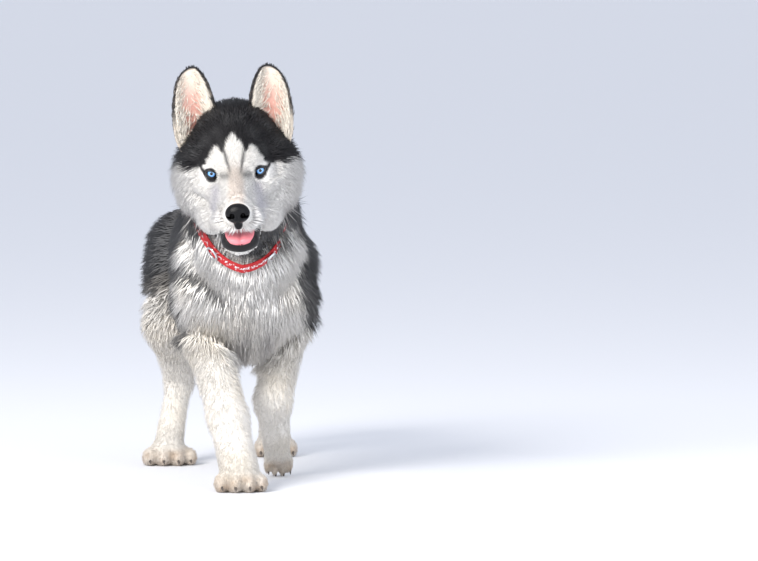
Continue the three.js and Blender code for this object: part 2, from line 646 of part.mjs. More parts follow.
const ruffRows = [{ ahead: -22, count: 13 }, { ahead: 15, count: 16 }, { ahead: 38, count: 13 }];
const ruffLocks = ruffRows.flatMap(({ ahead, count }, row) => Array.from({ length: count }, (_, i) => {
  const turn = ((i + (row % 2) * 0.5) / count) * Math.PI * 2;
  const inside = collarCentre.clone().addScaledVector(collarSquare, ahead * squareSign);
  const lie = neckWay.clone().addScaledVector(upward, -0.9).addScaledVector(collarWay(turn), 0.2);
  return lockFrom(neckField, inside, collarWay(turn), lie, between(27, 35), between(8, 10.5));
}));

const chestLocks = Array.from({ length: 15 }, (_, i) => {
  const row = Math.floor(i / 5);
  const across = (i % 5) - 2 + (row % 2) * 0.5;
  const ray = rearward.clone().negate().addScaledVector(leftward, across * 0.42).addScaledVector(upward, 0.3 - row * 0.42);
  const lie = upward.clone().negate().addScaledVector(rearward, 0.15).addScaledVector(leftward, across * 0.08);
  return lockFrom(trunkField, body(70, 0, 236), ray.normalize(), lie, between(32, 40), between(10, 12.5));
});

const breechLocks = ({ top, joint, low }, field, s) => Array.from({ length: 9 }, (_, i) => {
  const t = i / 8;
  const inside = t < 0.6 ? top.clone().lerp(joint, t / 0.6 * 0.9 + 0.1) : joint.clone().lerp(low, (t - 0.6) * 1.4);
  const ray = rearward.clone().addScaledVector(leftward, s * between(-0.1, 0.55)).normalize();
  const lie = upward.clone().negate().addScaledVector(rearward, 0.45);
  return lockFrom(field, inside, ray, lie, between(26, 34), between(8, 9.5));
});

const tailCurve = new THREE.CatmullRomCurve3(tailPath, false, "centripetal");
const tailLocks = Array.from({ length: 28 }, (_, i) => {
  const t = lerp(0.1, 0.93, i / 27);
  const turn = i * 2.4;
  const tangent = tailCurve.getTangent(t);
  const across = leftward.clone().addScaledVector(tangent, -leftward.dot(tangent)).normalize();
  const outward = across.clone().multiplyScalar(Math.cos(turn))
    .addScaledVector(tangent.clone().cross(across), Math.sin(turn));
  const where = t * (tailRadii.length - 1);
  const radius = lerp(tailRadii[Math.floor(where)], tailRadii[Math.ceil(where)], where % 1);
  const root = tailCurve.getPoint(t).addScaledVector(outward, radius * 0.93);
  const lie = tangent.clone().addScaledVector(outward, 0.25);
  return lock(root, outward, lie, between(34, 42), between(8.5, 10.5));
});

dress("head", cheekLocks, ["neck", "lower_jaw", "ear_left", "ear_right", groove]);
dress("neck", ruffLocks, ["head", "lower_jaw", "torso", "foreleg_left", "foreleg_right", "ear_left", "ear_right", groove, ringRoom, slideRoom]);
dress("torso", chestLocks, ["neck", "foreleg_left", "foreleg_right", groove, ringRoom, slideRoom]);
dress("hindleg_left", breechLocks(legs.hind_left, legField("hind_left"), 1), ["torso", "tail", "hindpaw_left", "hindleg_right"]);
dress("hindleg_right", breechLocks(legs.hind_right, legField("hind_right"), -1), ["torso", "tail", "hindpaw_right", "hindleg_left"]);
dress("tail", tailLocks, ["torso", "hindleg_left", "hindleg_right"]);

// The model.
const looks = {
  head: [0xdedad2, 0.9], nose: [0x17171a, 0.35], lower_jaw: [0xcfc9c0, 0.9], tongue: [0xe58a93, 0.4],
  eye: [0x6fa8e0, 0.1], ear: [0xd9c9bd, 0.9], neck: [0x8a8780, 0.9], torso: [0x4b4b4d, 0.9],
  tail: [0x55555a, 0.9], foreleg: [0xe9e3d8, 0.9], hindleg: [0xd8d2c8, 0.9], forepaw: [0xe3d8c6, 0.9],
  hindpaw: [0xe3d8c6, 0.9], collar: [0xc01820, 0.6], collar_ring: [0xb9bcc2, 0.3], collar_slide: [0xb9bcc2, 0.3],
};
const weldReach = 0.004; // corners closer than this become one

// Cuts leave corners almost on each other: they are welded, and the faces that this closes up are dropped.
const welded = (solid) => {
  const { vertProperties, triVerts, numProp } = solid.getMesh();
  const positions = new Float32Array((vertProperties.length / numProp) * 3);
  for (let i = 0; i < positions.length / 3; i++) {
    positions.set(vertProperties.subarray(i * numProp, i * numProp + 3), i * 3);
  }
  const merged = mergeVertices(new THREE.BufferGeometry()
    .setAttribute("position", new THREE.BufferAttribute(positions, 3))
    .setIndex(new THREE.BufferAttribute(triVerts, 1)), weldReach);
  const faces = new Map();
  const index = merged.index.array;
  for (let i = 0; i < index.length; i += 3) {
    const face = [...index.slice(i, i + 3)];
    if (new Set(face).size < 3) continue;
    const key = [...face].sort((a, b) => a - b).join();
    if (!faces.delete(key)) faces.set(key, face);
  }
  return merged.setIndex([...faces.values()].flat());
};

const model = new THREE.Group();
for (const [name, solid] of Object.entries(parts)) {
  const geometry = welded(largest(solid));
  geometry.computeVertexNormals();
  const [color, roughness] = looks[name] ?? looks[name.replace(/_(left|right)$/, "")];
  const metalness = /ring|slide/.test(name) ? 1 : 0;
  const mesh = new THREE.Mesh(geometry, new THREE.MeshStandardMaterial({ color, roughness, metalness }));
  mesh.name = name;
  model.add(mesh);
}
const extent = new THREE.Box3().setFromObject(model); // the origin is on the floor, under the middle
model.position.set(-(extent.min.x + extent.max.x) / 2, -(extent.min.y + extent.max.y) / 2, 0);

export default model;
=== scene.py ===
import math

import bpy
import numpy as np
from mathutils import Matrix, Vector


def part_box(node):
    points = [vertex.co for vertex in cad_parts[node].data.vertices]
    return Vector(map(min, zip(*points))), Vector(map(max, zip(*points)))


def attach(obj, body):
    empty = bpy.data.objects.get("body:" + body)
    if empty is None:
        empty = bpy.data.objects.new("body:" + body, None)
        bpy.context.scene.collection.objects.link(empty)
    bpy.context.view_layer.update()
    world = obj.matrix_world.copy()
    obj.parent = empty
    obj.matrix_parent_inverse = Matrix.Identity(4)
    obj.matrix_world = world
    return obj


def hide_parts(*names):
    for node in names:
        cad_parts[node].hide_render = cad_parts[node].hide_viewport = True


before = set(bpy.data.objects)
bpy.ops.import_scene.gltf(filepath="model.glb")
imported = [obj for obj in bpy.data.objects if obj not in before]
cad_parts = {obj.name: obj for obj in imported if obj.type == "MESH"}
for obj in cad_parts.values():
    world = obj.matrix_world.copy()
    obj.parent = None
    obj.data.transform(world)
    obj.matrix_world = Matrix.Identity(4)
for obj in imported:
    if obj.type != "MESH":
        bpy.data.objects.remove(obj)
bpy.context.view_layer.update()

draw = np.random.default_rng(4107)

# A husky puppy. Shapes are worked out in millimetres in the part's own frame, and toRow() puts them in the row frame.


def unit(v):
    v = np.asarray(v, float)
    return v / np.maximum(np.linalg.norm(v, axis=-1, keepdims=True), 1e-9)


def smooth(low, high, x):
    t = np.clip((x - low) / (high - low), 0, 1)
    return t * t * (3 - 2 * t)


def mix(a, b, t):
    t = np.asarray(t, float)
    if t.ndim == 1 and 3 in (np.shape(a)[-1:] + np.shape(b)[-1:]):
        t = t[:, None]
    return a + (b - a) * t


# Frames of the body and the head.
bodyYaw = 0.1445
halfWidth = 86  # of the trunk at the ribs
spineStart = np.array((15.0, -20.0, 0.0))
rearward = unit((-bodyYaw, 1, 0))
leftward = unit((1, bodyYaw, 0))
upward = np.array((0.0, 0.0, 1.0))
bodyAxes = np.array((leftward, rearward, upward))


def body(along, side, height):
    p = spineStart + rearward * along + leftward * side
    p[2] = height
    return p


def toBody(p):
    d = p - spineStart
    return d @ rearward, d @ leftward, p[:, 2]


eyeLine = np.array((0.5, -140.0, 398.0))
roll, pitch, gape = math.radians(-3.8), math.radians(20), math.radians(17)
turnY = np.array(((math.cos(roll), 0, math.sin(roll)), (0, 1, 0), (-math.sin(roll), 0, math.cos(roll))))
turnX = np.array(((1, 0, 0), (0, math.cos(pitch), -math.sin(pitch)), (0, math.sin(pitch), math.cos(pitch))))
headTurn = turnY @ turnX


def headWay(side, forward, up):
    return headTurn @ np.array((side, -forward, up), float)


def head(side, forward, up):
    return eyeLine + headWay(side, forward, up)


def toHead(p):
    q = (p - eyeLine) @ headTurn
    return q[:, 0], -q[:, 1], q[:, 2]


headAxes = np.array((headWay(1, 0, 0), headWay(0, 1, 0), headWay(0, 0, 1)))
hingeForward, hingeUp = -28, -44  # the jaw's hinge in the head's frame


def jawPoint(side, forward, up):
    f, u = forward - hingeForward, up - hingeUp
    c, s = math.cos(gape), math.sin(gape)
    return head(side, hingeForward + f * c + u * s, hingeUp - f * s + u * c)


def toJaw(p):
    side, forward, up = toHead(p)
    f, u = forward - hingeForward, up - hingeUp
    c, s = math.cos(gape), math.sin(gape)
    return side, hingeForward + f * c - u * s, hingeUp + f * s + u * c


jawAxes = np.array((headAxes[0], headWay(0, math.cos(gape), -math.sin(gape)),
                    headWay(0, math.sin(gape), math.cos(gape))))

eyeLeftLow, eyeLeftHigh = (np.array(corner) * 1000 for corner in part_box("eye_left"))
eyeAside, eyeBack = 29.5, -4.5
shift = (eyeLeftLow + eyeLeftHigh) / 2 - head(eyeAside, eyeBack, 0)


def toRow(p):
    return (np.asarray(p) + shift) / 1000


# Forms of the coat's outer surface: soft unions of balls and limbs, as in the solids.
def ball(centre, radii, axes):
    radii = np.asarray(radii, float)

    def form(p):
        q = ((p - centre) @ axes.T) / radii
        whole = np.linalg.norm(q, axis=1)
        slope = np.linalg.norm(q / radii, axis=1)
        return whole * (whole - 1) / np.maximum(slope, 1e-6)

    return form


def limb(start, end, radiusStart, radiusEnd):
    run = end - start
    squared = run @ run

    def form(p):
        d = p - start
        t = np.clip(d @ run / squared, 0, 1)
        return np.linalg.norm(d - t[:, None] * run, axis=1) - (radiusStart + (radiusEnd - radiusStart) * t)

    return form


def smoothUnion(a, b, blend):
    h = np.maximum(blend - np.abs(a - b), 0) / blend
    return np.minimum(a, b) - h * h * blend * 0.25


def flesh(forms):
    def field(p):
        total = np.full(len(p), 1e3)
        for form, blend in forms:
            total = smoothUnion(total, form(p), blend)
        return total

    return field


def soft(blend, *forms):
    return [(form, blend) for form in forms]


legs = {
    "foreRight": {"top": body(56, -50, 282), "joint": body(42, -50, 186), "low": body(-25, -31, 88),
                  "knuckle": body(-62, -21, 26), "planted": True, "spread": 1.1},
    "foreLeft": {"top": body(62, 50, 282), "joint": body(98, 60, 206), "low": body(76, 38, 100),
                 "knuckle": body(110, 48, 31), "planted": False, "spread": 0.62},
    "hindRight": {"top": body(338, -46, 282), "joint": body(284, -66, 184), "low": body(346, -52, 106),
                  "knuckle": body(310, -70, 24), "planted": True, "spread": 1.18},
    "hindLeft": {"top": body(342, 46, 282), "joint": body(326, 62, 172), "low": body(412, 80, 112),
                 "knuckle": body(412, 82, 25), "planted": True, "spread": 0.95},
}
trunkForms = [
    *soft(40,
          ball(body(135, 0, 262), (halfWidth, 150, 112), bodyAxes),  # ribs
          ball(body(38, 0, 246), (71, 60, 86), bodyAxes),  # chest
          ball(body(95, 0, 340), (38, 80, 44), bodyAxes),  # withers
          ball(body(248, 0, 282), (halfWidth - 8, 110, 86), bodyAxes),  # loin
          ball(body(338, 0, 290), (60, 68, 78), bodyAxes),  # rump
          ball(body(72, 0, 188), (34, 52, 32), bodyAxes)),  # brisket
    *soft(30,
          *(limb(body(95, s * 30, 322), body(46, s * 51, 236), 30, 42) for s in (-1, 1)),
          *(ball(body(322, s * 50, 256), (43, 58, 66), bodyAxes) for s in (-1, 1))),
]
neckStart = head(0, -62, 6)
neckEnd = body(70, 0, 308)
neckForms = soft(34, limb(neckStart, neckEnd, 54, 74), ball(body(6, 0, 300), (52, 40, 46), bodyAxes))

# The blend into what is there, the radius at the start and the radius at the end, down each leg.
thighRadii = {"foreRight": (26, 40, 33), "foreLeft": (26, 40, 33), "hindRight": (28, 46, 37), "hindLeft": (28, 46, 36)}
shankRadii = {"foreRight": ((18, 31, 26), (14, 26, 25)), "foreLeft": ((18, 31, 25), (14, 24, 17)),
              "hindRight": ((22, 35, 20), (14, 18.5, 19.5)), "hindLeft": ((22, 35, 20), (14, 19, 22))}
legForms = []
for name, leg in legs.items():
    blend, start, end = thighRadii[name]
    legForms += soft(blend, limb(leg["top"], leg["joint"], start, end))
for name, leg in legs.items():
    (blend, start, end), (lowBlend, lowStart, lowEnd) = shankRadii[name]
    legForms += soft(blend, limb(leg["joint"], leg["low"], start, end))
    legForms += soft(lowBlend, limb(leg["low"], leg["knuckle"], lowStart, lowEnd))

# Paws: four toes on each, a pad on each planted one, and the places of the claws.
ahead = -rearward
toe = {"places": ((-22.5, 13), (-8.2, 21), (8.2, 21), (22.5, 13)), "radii": (8.6, 16, 12), "height": 10.4,
       "droop": 0.22, "blend": 8, "lifted": 0.82}
pad = {"radii": (24, 27, 18), "height": 14, "blend": 8}
claw = {"ahead": 20.5, "height": 3.4, "length": 12,
        "profile": ((0, 2.5), (0.35, 2.3), (0.7, 1.4), (0.93, 0.6), (1.0, 0.08))}  # each radius along it
pawForms, claws = [], []
for leg in legs.values():
    fold = unit(leg["knuckle"] - leg["low"])
    forward = unit(ahead - upward * toe["droop"]) if leg["planted"] else fold
    size = 1 if leg["planted"] else toe["lifted"]
    long, wide, tall = toe["radii"][1] * size, toe["radii"][0] * leg["spread"], toe["radii"][2] * size
    axes = np.array((leftward, forward, unit(np.cross(leftward, forward))))
    for across, reach in toe["places"]:
        at = leg["knuckle"] + leftward * across * leg["spread"]
        if leg["planted"]:
            at = at + ahead * reach
            at[2] = toe["height"]
        else:
            at = at + fold * (reach * 0.6 + 8)
        pawForms += soft(toe["blend"], ball(at, (wide, long, tall), axes))
        tip = at + forward * claw["ahead"] * size
        if leg["planted"]:
            tip[2] = claw["height"]
            claws.append((tip, unit(ahead - upward * 0.3)))
        else:
            claws.append((tip + ahead * 5, unit(fold + ahead * 0.35)))
    if leg["planted"]:
        at = leg["knuckle"].copy()
        at[2] = pad["height"]
        pawForms += soft(pad["blend"], ball(at, np.array(pad["radii"]) * (leg["spread"], 1, 1), bodyAxes))

eyeCentres = {s: head(s * eyeAside, eyeBack, 0) for s in (-1, 1)}
headForms = [
    *soft(20,
          ball(head(0, -46, 18), (49, 54, 46), headAxes),  # skull
          *(ball(head(s * 35, -44, -16), (38, 42, 42), headAxes) for s in (-1, 1)),  # jaw muscles
          limb(head(0, -30, -34), head(0, 6, -34), 44, 28)),
    *soft(14,
          limb(head(0, 0, -5), head(0, 54, -26), 23, 14),  # bridge of the muzzle
          *(limb(head(s * 14, 10, -37), head(s * 10, 45, -41), 20, 17) for s in (-1, 1)),  # upper lips
          *(ball(head(s * 21, -5, 16), (17, 14, 12), headAxes) for s in (-1, 1)),  # brows
          *(ball(head(s * 36, -4, -18), (15, 14, 12), headAxes) for s in (-1, 1)),  # cheekbones
          *(ball(head(s * 46, -38, -38), (25, 28, 31), headAxes) for s in (-1, 1)),  # cheeks
          *(ball(head(s * 34, -15, -61), (20, 25, 26), headAxes) for s in (-1, 1))),  # jowls
    *soft(6, *(ball(eyeCentres[s], (13.4, 11.4, 11.8), headAxes) for s in (-1, 1))),  # lids
]
tailPath = [body(388, 0, 318), body(430, 2, 300), body(458, 4, 254), body(470, 5, 200), body(468, 4, 148),
            body(456, 2, 104)]
tailRadii = (30, 29, 31, 31, 26, 12)
tailForms = [(limb(a, b, ra, rb), 2) for a, b, ra, rb in zip(tailPath, tailPath[1:], tailRadii, tailRadii[1:])]

trunkField = flesh(trunkForms)
neckField = flesh(trunkForms + neckForms + headForms)
jawField = flesh(soft(12, limb(jawPoint(0, -14, -62), jawPoint(0, 42, -62), 21, 14),
                      *(limb(jawPoint(s * 17, 0, -57), jawPoint(s * 13.5, 42, -57), 12.5, 12) for s in (-1, 1))))
tailField = flesh(tailForms)
coatField = flesh(trunkForms + neckForms + legForms + headForms + pawForms)
mouthHollow = ball(head(0, 26, -59.5), (25, 38, 11.5), headAxes)
jawTrough = ball(jawPoint(0, 16, -43), (21.5, 47, 9.5), jawAxes)
noseBody = ball(head(0, 63.5, -28.8), (15.2, 10.3, 12.8), headAxes)
philtrum = ball(head(0, 62, -43), (5.5, 5, 8), headAxes)

# The outline of an eye's opening, as a field that is negative inside it.
opening = {"tilt": math.radians(27), "half": 8.8, "top": 5.8, "bottom": 4.2}


def almond(p, s):
    d = p - eyeCentres[s]
    x, z = d @ headAxes[0], d @ headAxes[2]
    tilt = s * opening["tilt"]
    a = x * math.cos(tilt) + z * math.sin(tilt)
    b = -x * math.sin(tilt) + z * math.cos(tilt)
    t = np.clip(a / opening["half"], -1.3, 1.3)
    top = opening["top"] * (1 - t * t)
    bottom = -opening["bottom"] * (1 - t * t)
    return np.maximum(b - top, bottom - b) * 0.8


fullDepth = 15.0  # of the coat on the trunk, the neck and the tail


# How deep the coat is over the skin.
def coatDepth(p):
    _, _, up = toBody(p)
    _, forward, _ = toHead(p)
    trunk = smooth(12, -4, trunkField(p))
    low = np.interp(up, (0, 35, 60, 120, 175, 250), (1.7, 2.1, 2.6, 3.8, 6.5, 13))
    depth = low + (fullDepth - low) * trunk
    depth = np.where(neckSide(p), fullDepth, depth)
    fromHead = np.linalg.norm(p - head(0, -30, -12), axis=1)
    onHead = np.interp(forward, (-80, -45, -20, 0, 20, 60), (14, 9, 5.5, 3.4, 2.3, 1.7))
    depth = mix(depth, onHead, smooth(98, 76, fromHead) * smooth(-70, -40, forward))
    depth = np.where(noseBody(p) < 6, 1.4, depth)
    for s in (-1, 1):
        nearEye = smooth(21, 13.5, np.linalg.norm(p - eyeCentres[s], axis=1))
        depth = depth * (1 - nearEye) + 0.3 * nearEye
    return depth


neckWay = unit(neckEnd - neckStart)
napePoint, napeNormal = np.array((0, -64, 398.0)), unit((0, 0.972, -0.237))
ruffPoint, ruffNormal = body(26, 0, 326), unit(neckWay * 0.75 + rearward * 0.25)


def headSide(p):
    return (p - napePoint) @ napeNormal < 0


def neckSide(p):
    return ~headSide(p) & ((p - ruffPoint) @ ruffNormal < 0)


def skinField(p):
    value = coatField(p) + coatDepth(p)
    value = smoothUnion(value, tailField(p) + 17, 14)
    value = np.maximum(value, -mouthHollow(p))
    for s in (-1, 1):
        forward = (p - eyeCentres[s]) @ headAxes[1]
        value = np.maximum(value, -np.maximum(almond(p, s) - 1.0, -forward - 2))
    return value


def slopes(field, p, step=0.5):
    g = np.empty_like(p)
    for i in range(3):
        e = np.zeros(3)
        e[i] = step
        g[:, i] = (field(p + e) - field(p - e)) / (2 * step)
    return g


def settle(field, p, steps, reach):
    start = p.copy()
    for _ in range(steps):
        g = slopes(field, p)
        p = p - g * (field(p) / np.maximum((g * g).sum(1), 0.2))[:, None]
    moved = np.linalg.norm(p - start, axis=1) > reach
    p[moved] = start[moved]
    return p


# A closed net over a field: a corner for every cell that the surface passes through. Coarse cells come first,
# and only those near the surface are looked at finely.
def surfaceNet(field, low, high, cell, coarse=4):
    low, high = np.array(low, float), np.array(high, float)
    shape = (np.ceil((high - low) / cell / coarse).astype(int) + 1) * coarse + 1
    rough = [low[i] + np.arange(0, shape[i], coarse) * cell for i in range(3)]
    grid = np.stack(np.meshgrid(*rough, indexing="ij"), -1)
    roughValues = field(grid.reshape(-1, 3)).reshape(grid.shape[:3])
    near = np.abs(roughValues) < coarse * cell * 1.9 + 10
    blocks = np.zeros(np.array(near.shape) - 1, bool)
    for i in (0, 1):
        for j in (0, 1):
            for k in (0, 1):
                blocks |= near[i:near.shape[0] - 1 + i, j:near.shape[1] - 1 + j, k:near.shape[2] - 1 + k]
    values = np.repeat(np.repeat(np.repeat(roughValues, coarse, 0), coarse, 1), coarse, 2)
    values = values[:shape[0], :shape[1], :shape[2]]
    fine = np.zeros(values.shape, bool)
    for i in range(coarse + 1):
        for j in range(coarse + 1):
            for k in range(coarse + 1):
                at = tuple(slice(o, o + blocks.shape[n] * coarse, coarse) for n, o in enumerate((i, j, k)))
                fine[at] |= blocks
    where = np.argwhere(fine)
    for start in range(0, len(where), 400000):
        some = where[start:start + 400000]
        values[tuple(some.T)] = field(low + some * cell)
    inside = values < 0
    strides = np.array((shape[1] * shape[2], shape[2], 1))
    cells, places, quads = [], [], []
    for axis in range(3):
        step = np.zeros(3, int)
        step[axis] = 1
        b, c = np.roll(step, 1), np.roll(step, 2)
        first = tuple(slice(0, -1) if i == axis else slice(1, -1) for i in range(3))
        second = tuple(slice(1, None) if i == axis else slice(1, -1) for i in range(3))
        nodes = np.argwhere(inside[first] != inside[second]) + [0 if i == axis else 1 for i in range(3)]
        va, vb = values[tuple(nodes.T)], values[tuple((nodes + step).T)]
        at = low + (nodes + step * (va / (va - vb))[:, None]) * cell
        corner = [(nodes - b - c) @ strides, (nodes - c) @ strides, nodes @ strides, (nodes - b) @ strides]
        cells += corner
        places += [at] * 4
        quad = np.stack(corner, 1)
        flip = va > 0
        quad[flip] = quad[flip][:, ::-1]
        quads.append(quad)
    ids, inverse = np.unique(np.concatenate(cells), return_inverse=True)
    places = np.concatenate(places)
    count = np.bincount(inverse)
    points = np.stack([np.bincount(inverse, places[:, i]) / count for i in range(3)], 1)
    faces = np.searchsorted(ids, np.concatenate(quads))
    return settle(field, points, 4, cell * 0.7), faces


# Meshes: each piece is made with its material, colours and unwrap, and hung on the root body.
def addPiece(name, points, faces, material, slot, replaced=(), colours=None, uvs=None, smoothShade=True):
    mesh = bpy.data.meshes.new(name)
    faces = np.asarray(faces)
    points = toRow(points)
    mesh.vertices.add(len(points))
    mesh.vertices.foreach_set("co", points.astype(np.float32).ravel())
    mesh.loops.add(faces.size)
    mesh.loops.foreach_set("vertex_index", faces.astype(np.int32).ravel())
    mesh.polygons.add(len(faces))
    mesh.polygons.foreach_set("loop_start", np.arange(0, faces.size, faces.shape[1], dtype=np.int32))
    mesh.polygons.foreach_set("use_smooth", np.full(len(faces), smoothShade))
    mesh.update(calc_edges=True)
    if colours is not None:
        attribute = mesh.color_attributes.new("coatColour", "FLOAT_COLOR", "POINT")
        full = np.ones((len(points), 4), np.float32)
        full[:, :3] = colours
        attribute.data.foreach_set("color", full.ravel())
    if uvs is not None:
        layer = mesh.uv_layers.new(name="OFBake")
        layer.data.foreach_set("uv", uvs[faces.ravel()].astype(np.float32).ravel())
    mesh.validate()
    piece = bpy.data.objects.new(name, mesh)
    bpy.context.scene.collection.objects.link(piece)
    piece.data.materials.append(material)
    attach(piece, "root")
    if replaced:
        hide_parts(*replaced)
    return piece


# Markings: one colour for every place on the coat, used by the skin and by the tufts.
white = np.array((0.84, 0.82, 0.79))
cream = np.array((0.80, 0.73, 0.62))
paleGrey = np.array((0.42, 0.40, 0.39))
brownGrey = np.array((0.22, 0.20, 0.175))
darkGrey = np.array((0.075, 0.075, 0.077))
black = np.array((0.022, 0.021, 0.023))
tan = np.array((0.46, 0.30, 0.17))


def wander(p, size, seed):
    q = p / size
    a = np.sin(q @ np.array((1.0, 1.7, 0.6)) + seed) + np.sin(q @ np.array((-1.3, 0.5, 1.9)) + 2 * seed)
    b = np.sin(q @ np.array((2.9, -1.1, 2.3)) + 3 * seed) + np.sin(q @ np.array((0.7, 3.1, -2.7)) + 4 * seed)
    return a * 0.35 + b * 0.2


def headMarkings(p):
    side, forward, up = toHead(p)
    across = np.abs(side)
    ragged = wander(p, 5, 1.0) * 2.2
    colour = np.tile(white, (len(p), 1))
    bridge = smooth(13, 5, across) * smooth(6, 22, forward) * smooth(-50, -28, up)
    colour = mix(colour, np.array((0.62, 0.50, 0.42)), bridge * 0.55)
    colour = mix(colour, paleGrey, smooth(54, 68, across + ragged) * smooth(12, -5, up) * 0.25)
    # Painted shade: a violet-grey band down each side of the muzzle, between the muzzle and the cheeks.
    muzzleSideShade = np.exp(-((across - np.interp(up, (-50, -10), (31, 25))) / 6.0) ** 2)
    muzzleSideShade = muzzleSideShade * smooth(-4, -16, up) * smooth(-56, -44, up) * smooth(-20, 5, forward)
    colour = mix(colour, np.array((0.50, 0.49, 0.56)), muzzleSideShade * 0.6)
    # Painted shade: pale grey under the back of the head, below the cheeks.
    colour = mix(colour, paleGrey, smooth(-42, -56, up) * smooth(-2, -20, forward) * 0.7)
    lineAt = np.interp(up, (4, 34), (5.5, 13.5))
    line = np.exp(-((across - lineAt) / 1.9) ** 2) * smooth(0, 14, up) * smooth(40, 30, up) * smooth(-25, -5, forward)
    colour = mix(colour, darkGrey, np.clip(line * 0.8, 0, 1))
    smudge = np.exp(-((up - 1 + (across - 18) * 0.35) / 3.2) ** 2)
    smudge = smudge * smooth(5, 10, across) * smooth(22, 17, across) * smooth(-10, 4, forward)
    colour = mix(colour, darkGrey, np.clip(smudge * 0.6, 0, 1))
    for s in (-1, 1):
        fromEye = np.linalg.norm(p - eyeCentres[s], axis=1)
        lid = smooth(4.8, 2.8, almond(p, s) + ragged * 0.25) * smooth(19, 15, fromEye) * smooth(-8, 0, forward)
        colour = mix(colour, black, lid)
    corner = np.exp(-((up - 5 - (across - 38) * 0.6) / 3.0) ** 2)
    corner = corner * smooth(34, 38, across) * smooth(52, 42, across) * smooth(-40, -10, forward)
    colour = mix(colour, black, np.clip(corner, 0, 1))
    edge = np.interp(across, (0, 3, 7, 11, 14, 18, 22, 28, 36, 44, 55, 66, 80),
                     (45.5, 44, 39, 31, 27, 33, 32.5, 26, 14, 7, 2, 5, -2))
    edge = edge - np.maximum(-48 - forward, 0) * 0.95
    cap = smooth(-2.2, 2.2, up - edge + ragged)
    colour = mix(colour, black + (darkGrey - black) * smooth(-0.5, 0.9, wander(p, 9, 3.0))[:, None] * 0.5, cap)
    return colour


def markings(p):
    along, side, up = toBody(p)
    out = np.abs(side)
    ragged = wander(p, 13, 2.0) * 9 + wander(p, 5, 5.0) * 3
    colour = np.tile(white, (len(p), 1))
    colour = mix(colour, cream, smooth(-0.3, 1, wander(p, 30, 7.0)) * 0.45)
    colour = mix(colour, cream, smooth(230, 160, up) * 0.3)
    belly = np.interp(along, (-60, 0, 60, 120, 240, 300, 360, 420), (300, 262, 206, 214, 226, 228, 212, 236))
    rightward = smooth(10, -30, side)
    front = smooth(45 + 45 * rightward, -20 + 45 * rightward, along) * smooth(86, 66, out - 18 * rightward)
    edge = belly + front * 150
    dark = smooth(-11, 11, up - edge + ragged)
    back = smooth(300, 350, up + ragged)
    coatDark = mix(darkGrey * 1.35, black * 1.6, back)
    colour = mix(colour, coatDark, dark)
    middle = np.exp(-((up - edge + ragged) / 17) ** 2) * 0.6
    colour = mix(colour, brownGrey, middle * smooth(20, 60, out))
    x, z = p[:, 0], p[:, 2]
    slope = np.clip((x + 88) / 72, 0, 1)
    band = smooth(12, 5, np.abs(z - (270 - 37 * slope) + ragged * 0.35))
    band = band * smooth(-100, -88, x) * smooth(-10, -20, x) * smooth(130, 80, along)
    middle = np.interp(z, (163, 194, 218, 252, 280), (-76, -78, -90, -100, -102))
    wide = np.interp(z, (163, 194, 218, 252, 280), (3, 7, 12, 17, 20))
    down = smooth(wide + 4, wide - 3, np.abs(x - middle + ragged * 0.3)) * smooth(156, 166, z) * smooth(130, 90, along)
    colour = mix(colour, darkGrey, down * 0.9)
    wide = np.interp(z, (186, 202, 260), (3, 13, 16))
    patchLeft = smooth(wide + 4, wide - 3, np.abs(x - 95 + ragged * 0.3)) * smooth(184, 192, z + ragged * 0.5)
    patchLeft = patchLeft * smooth(130, 90, along) * smooth(290, 270, z)
    colour = mix(colour, darkGrey, patchLeft * 0.9)
    # Painted shade: a grey V low on the chest, between the forelegs.
    sternumShade = np.exp(-((np.abs(side - 8) - 14) / 9) ** 2)
    sternumShade = sternumShade * smooth(212, 180, up) * smooth(120, 60, along) * smooth(135, 150, up)
    colour = mix(colour, paleGrey, np.clip(sternumShade, 0, 1) * 0.75)
    toes = smooth(26, 14, up) * (0.55 + 0.45 * smooth(-0.4, 0.6, wander(p, 8, 9.0)))
    colour = mix(colour, tan, toes * 0.55)
    turn = (p - collarCentre) / 75
    frontal = turn @ collarDown
    neck = neckSide(p)
    neckColour = mix(black * 1.8, darkGrey * 1.5, smooth(-0.75, 0.1, frontal + ragged * 0.02))
    # Above the strap the front of the neck stays dark grey: partly its real dark coat, partly painted shade under the
    # chin. Below the strap the white bib comes in.
    below = smooth(-3, 5, (p - collarCentre) @ collarSquare + ragged * 0.3)
    neckColour = mix(neckColour, brownGrey, smooth(-0.9, 0.2, frontal) * smooth(-0.2, 0.8, wander(p, 7, 6.0)) * 0.6)
    bib = smooth(0.15, 0.5, frontal + ragged * 0.02 + 0.35 * rightward * smooth(314, 296, z))
    neckColour = mix(neckColour, white * 0.97, bib * below)
    colour = np.where(neck[:, None], neckColour, colour)
    colour = mix(colour, darkGrey, band * 0.85)
    onHead = headSide(p)
    if onHead.any():
        colour[onHead] = headMarkings(p[onHead])
    onTail = tailField(p) < coatField(p) - 4
    spine = np.interp(up, (100, 200, 300, 335), (458, 470, 425, 370))
    tailColour = mix(white, darkGrey, smooth(-16, 4, along - spine + ragged * 0.6))
    colour = np.where(onTail[:, None], tailColour, colour)
    return colour


# Collar: its plane, and how far the strap lies from its middle at each turn.
collarTop, collarBottom = np.array((2, 15, 412.0)), np.array((-3, -57, 277.0))
collarCentre = (collarTop + collarBottom) / 2
collarDown = unit(collarBottom - collarTop)
collarLeft = unit(leftward - collarDown * (leftward @ collarDown))
collarSquare = np.cross(collarLeft, collarDown)
if collarSquare @ neckWay < 0:
    collarSquare = -collarSquare


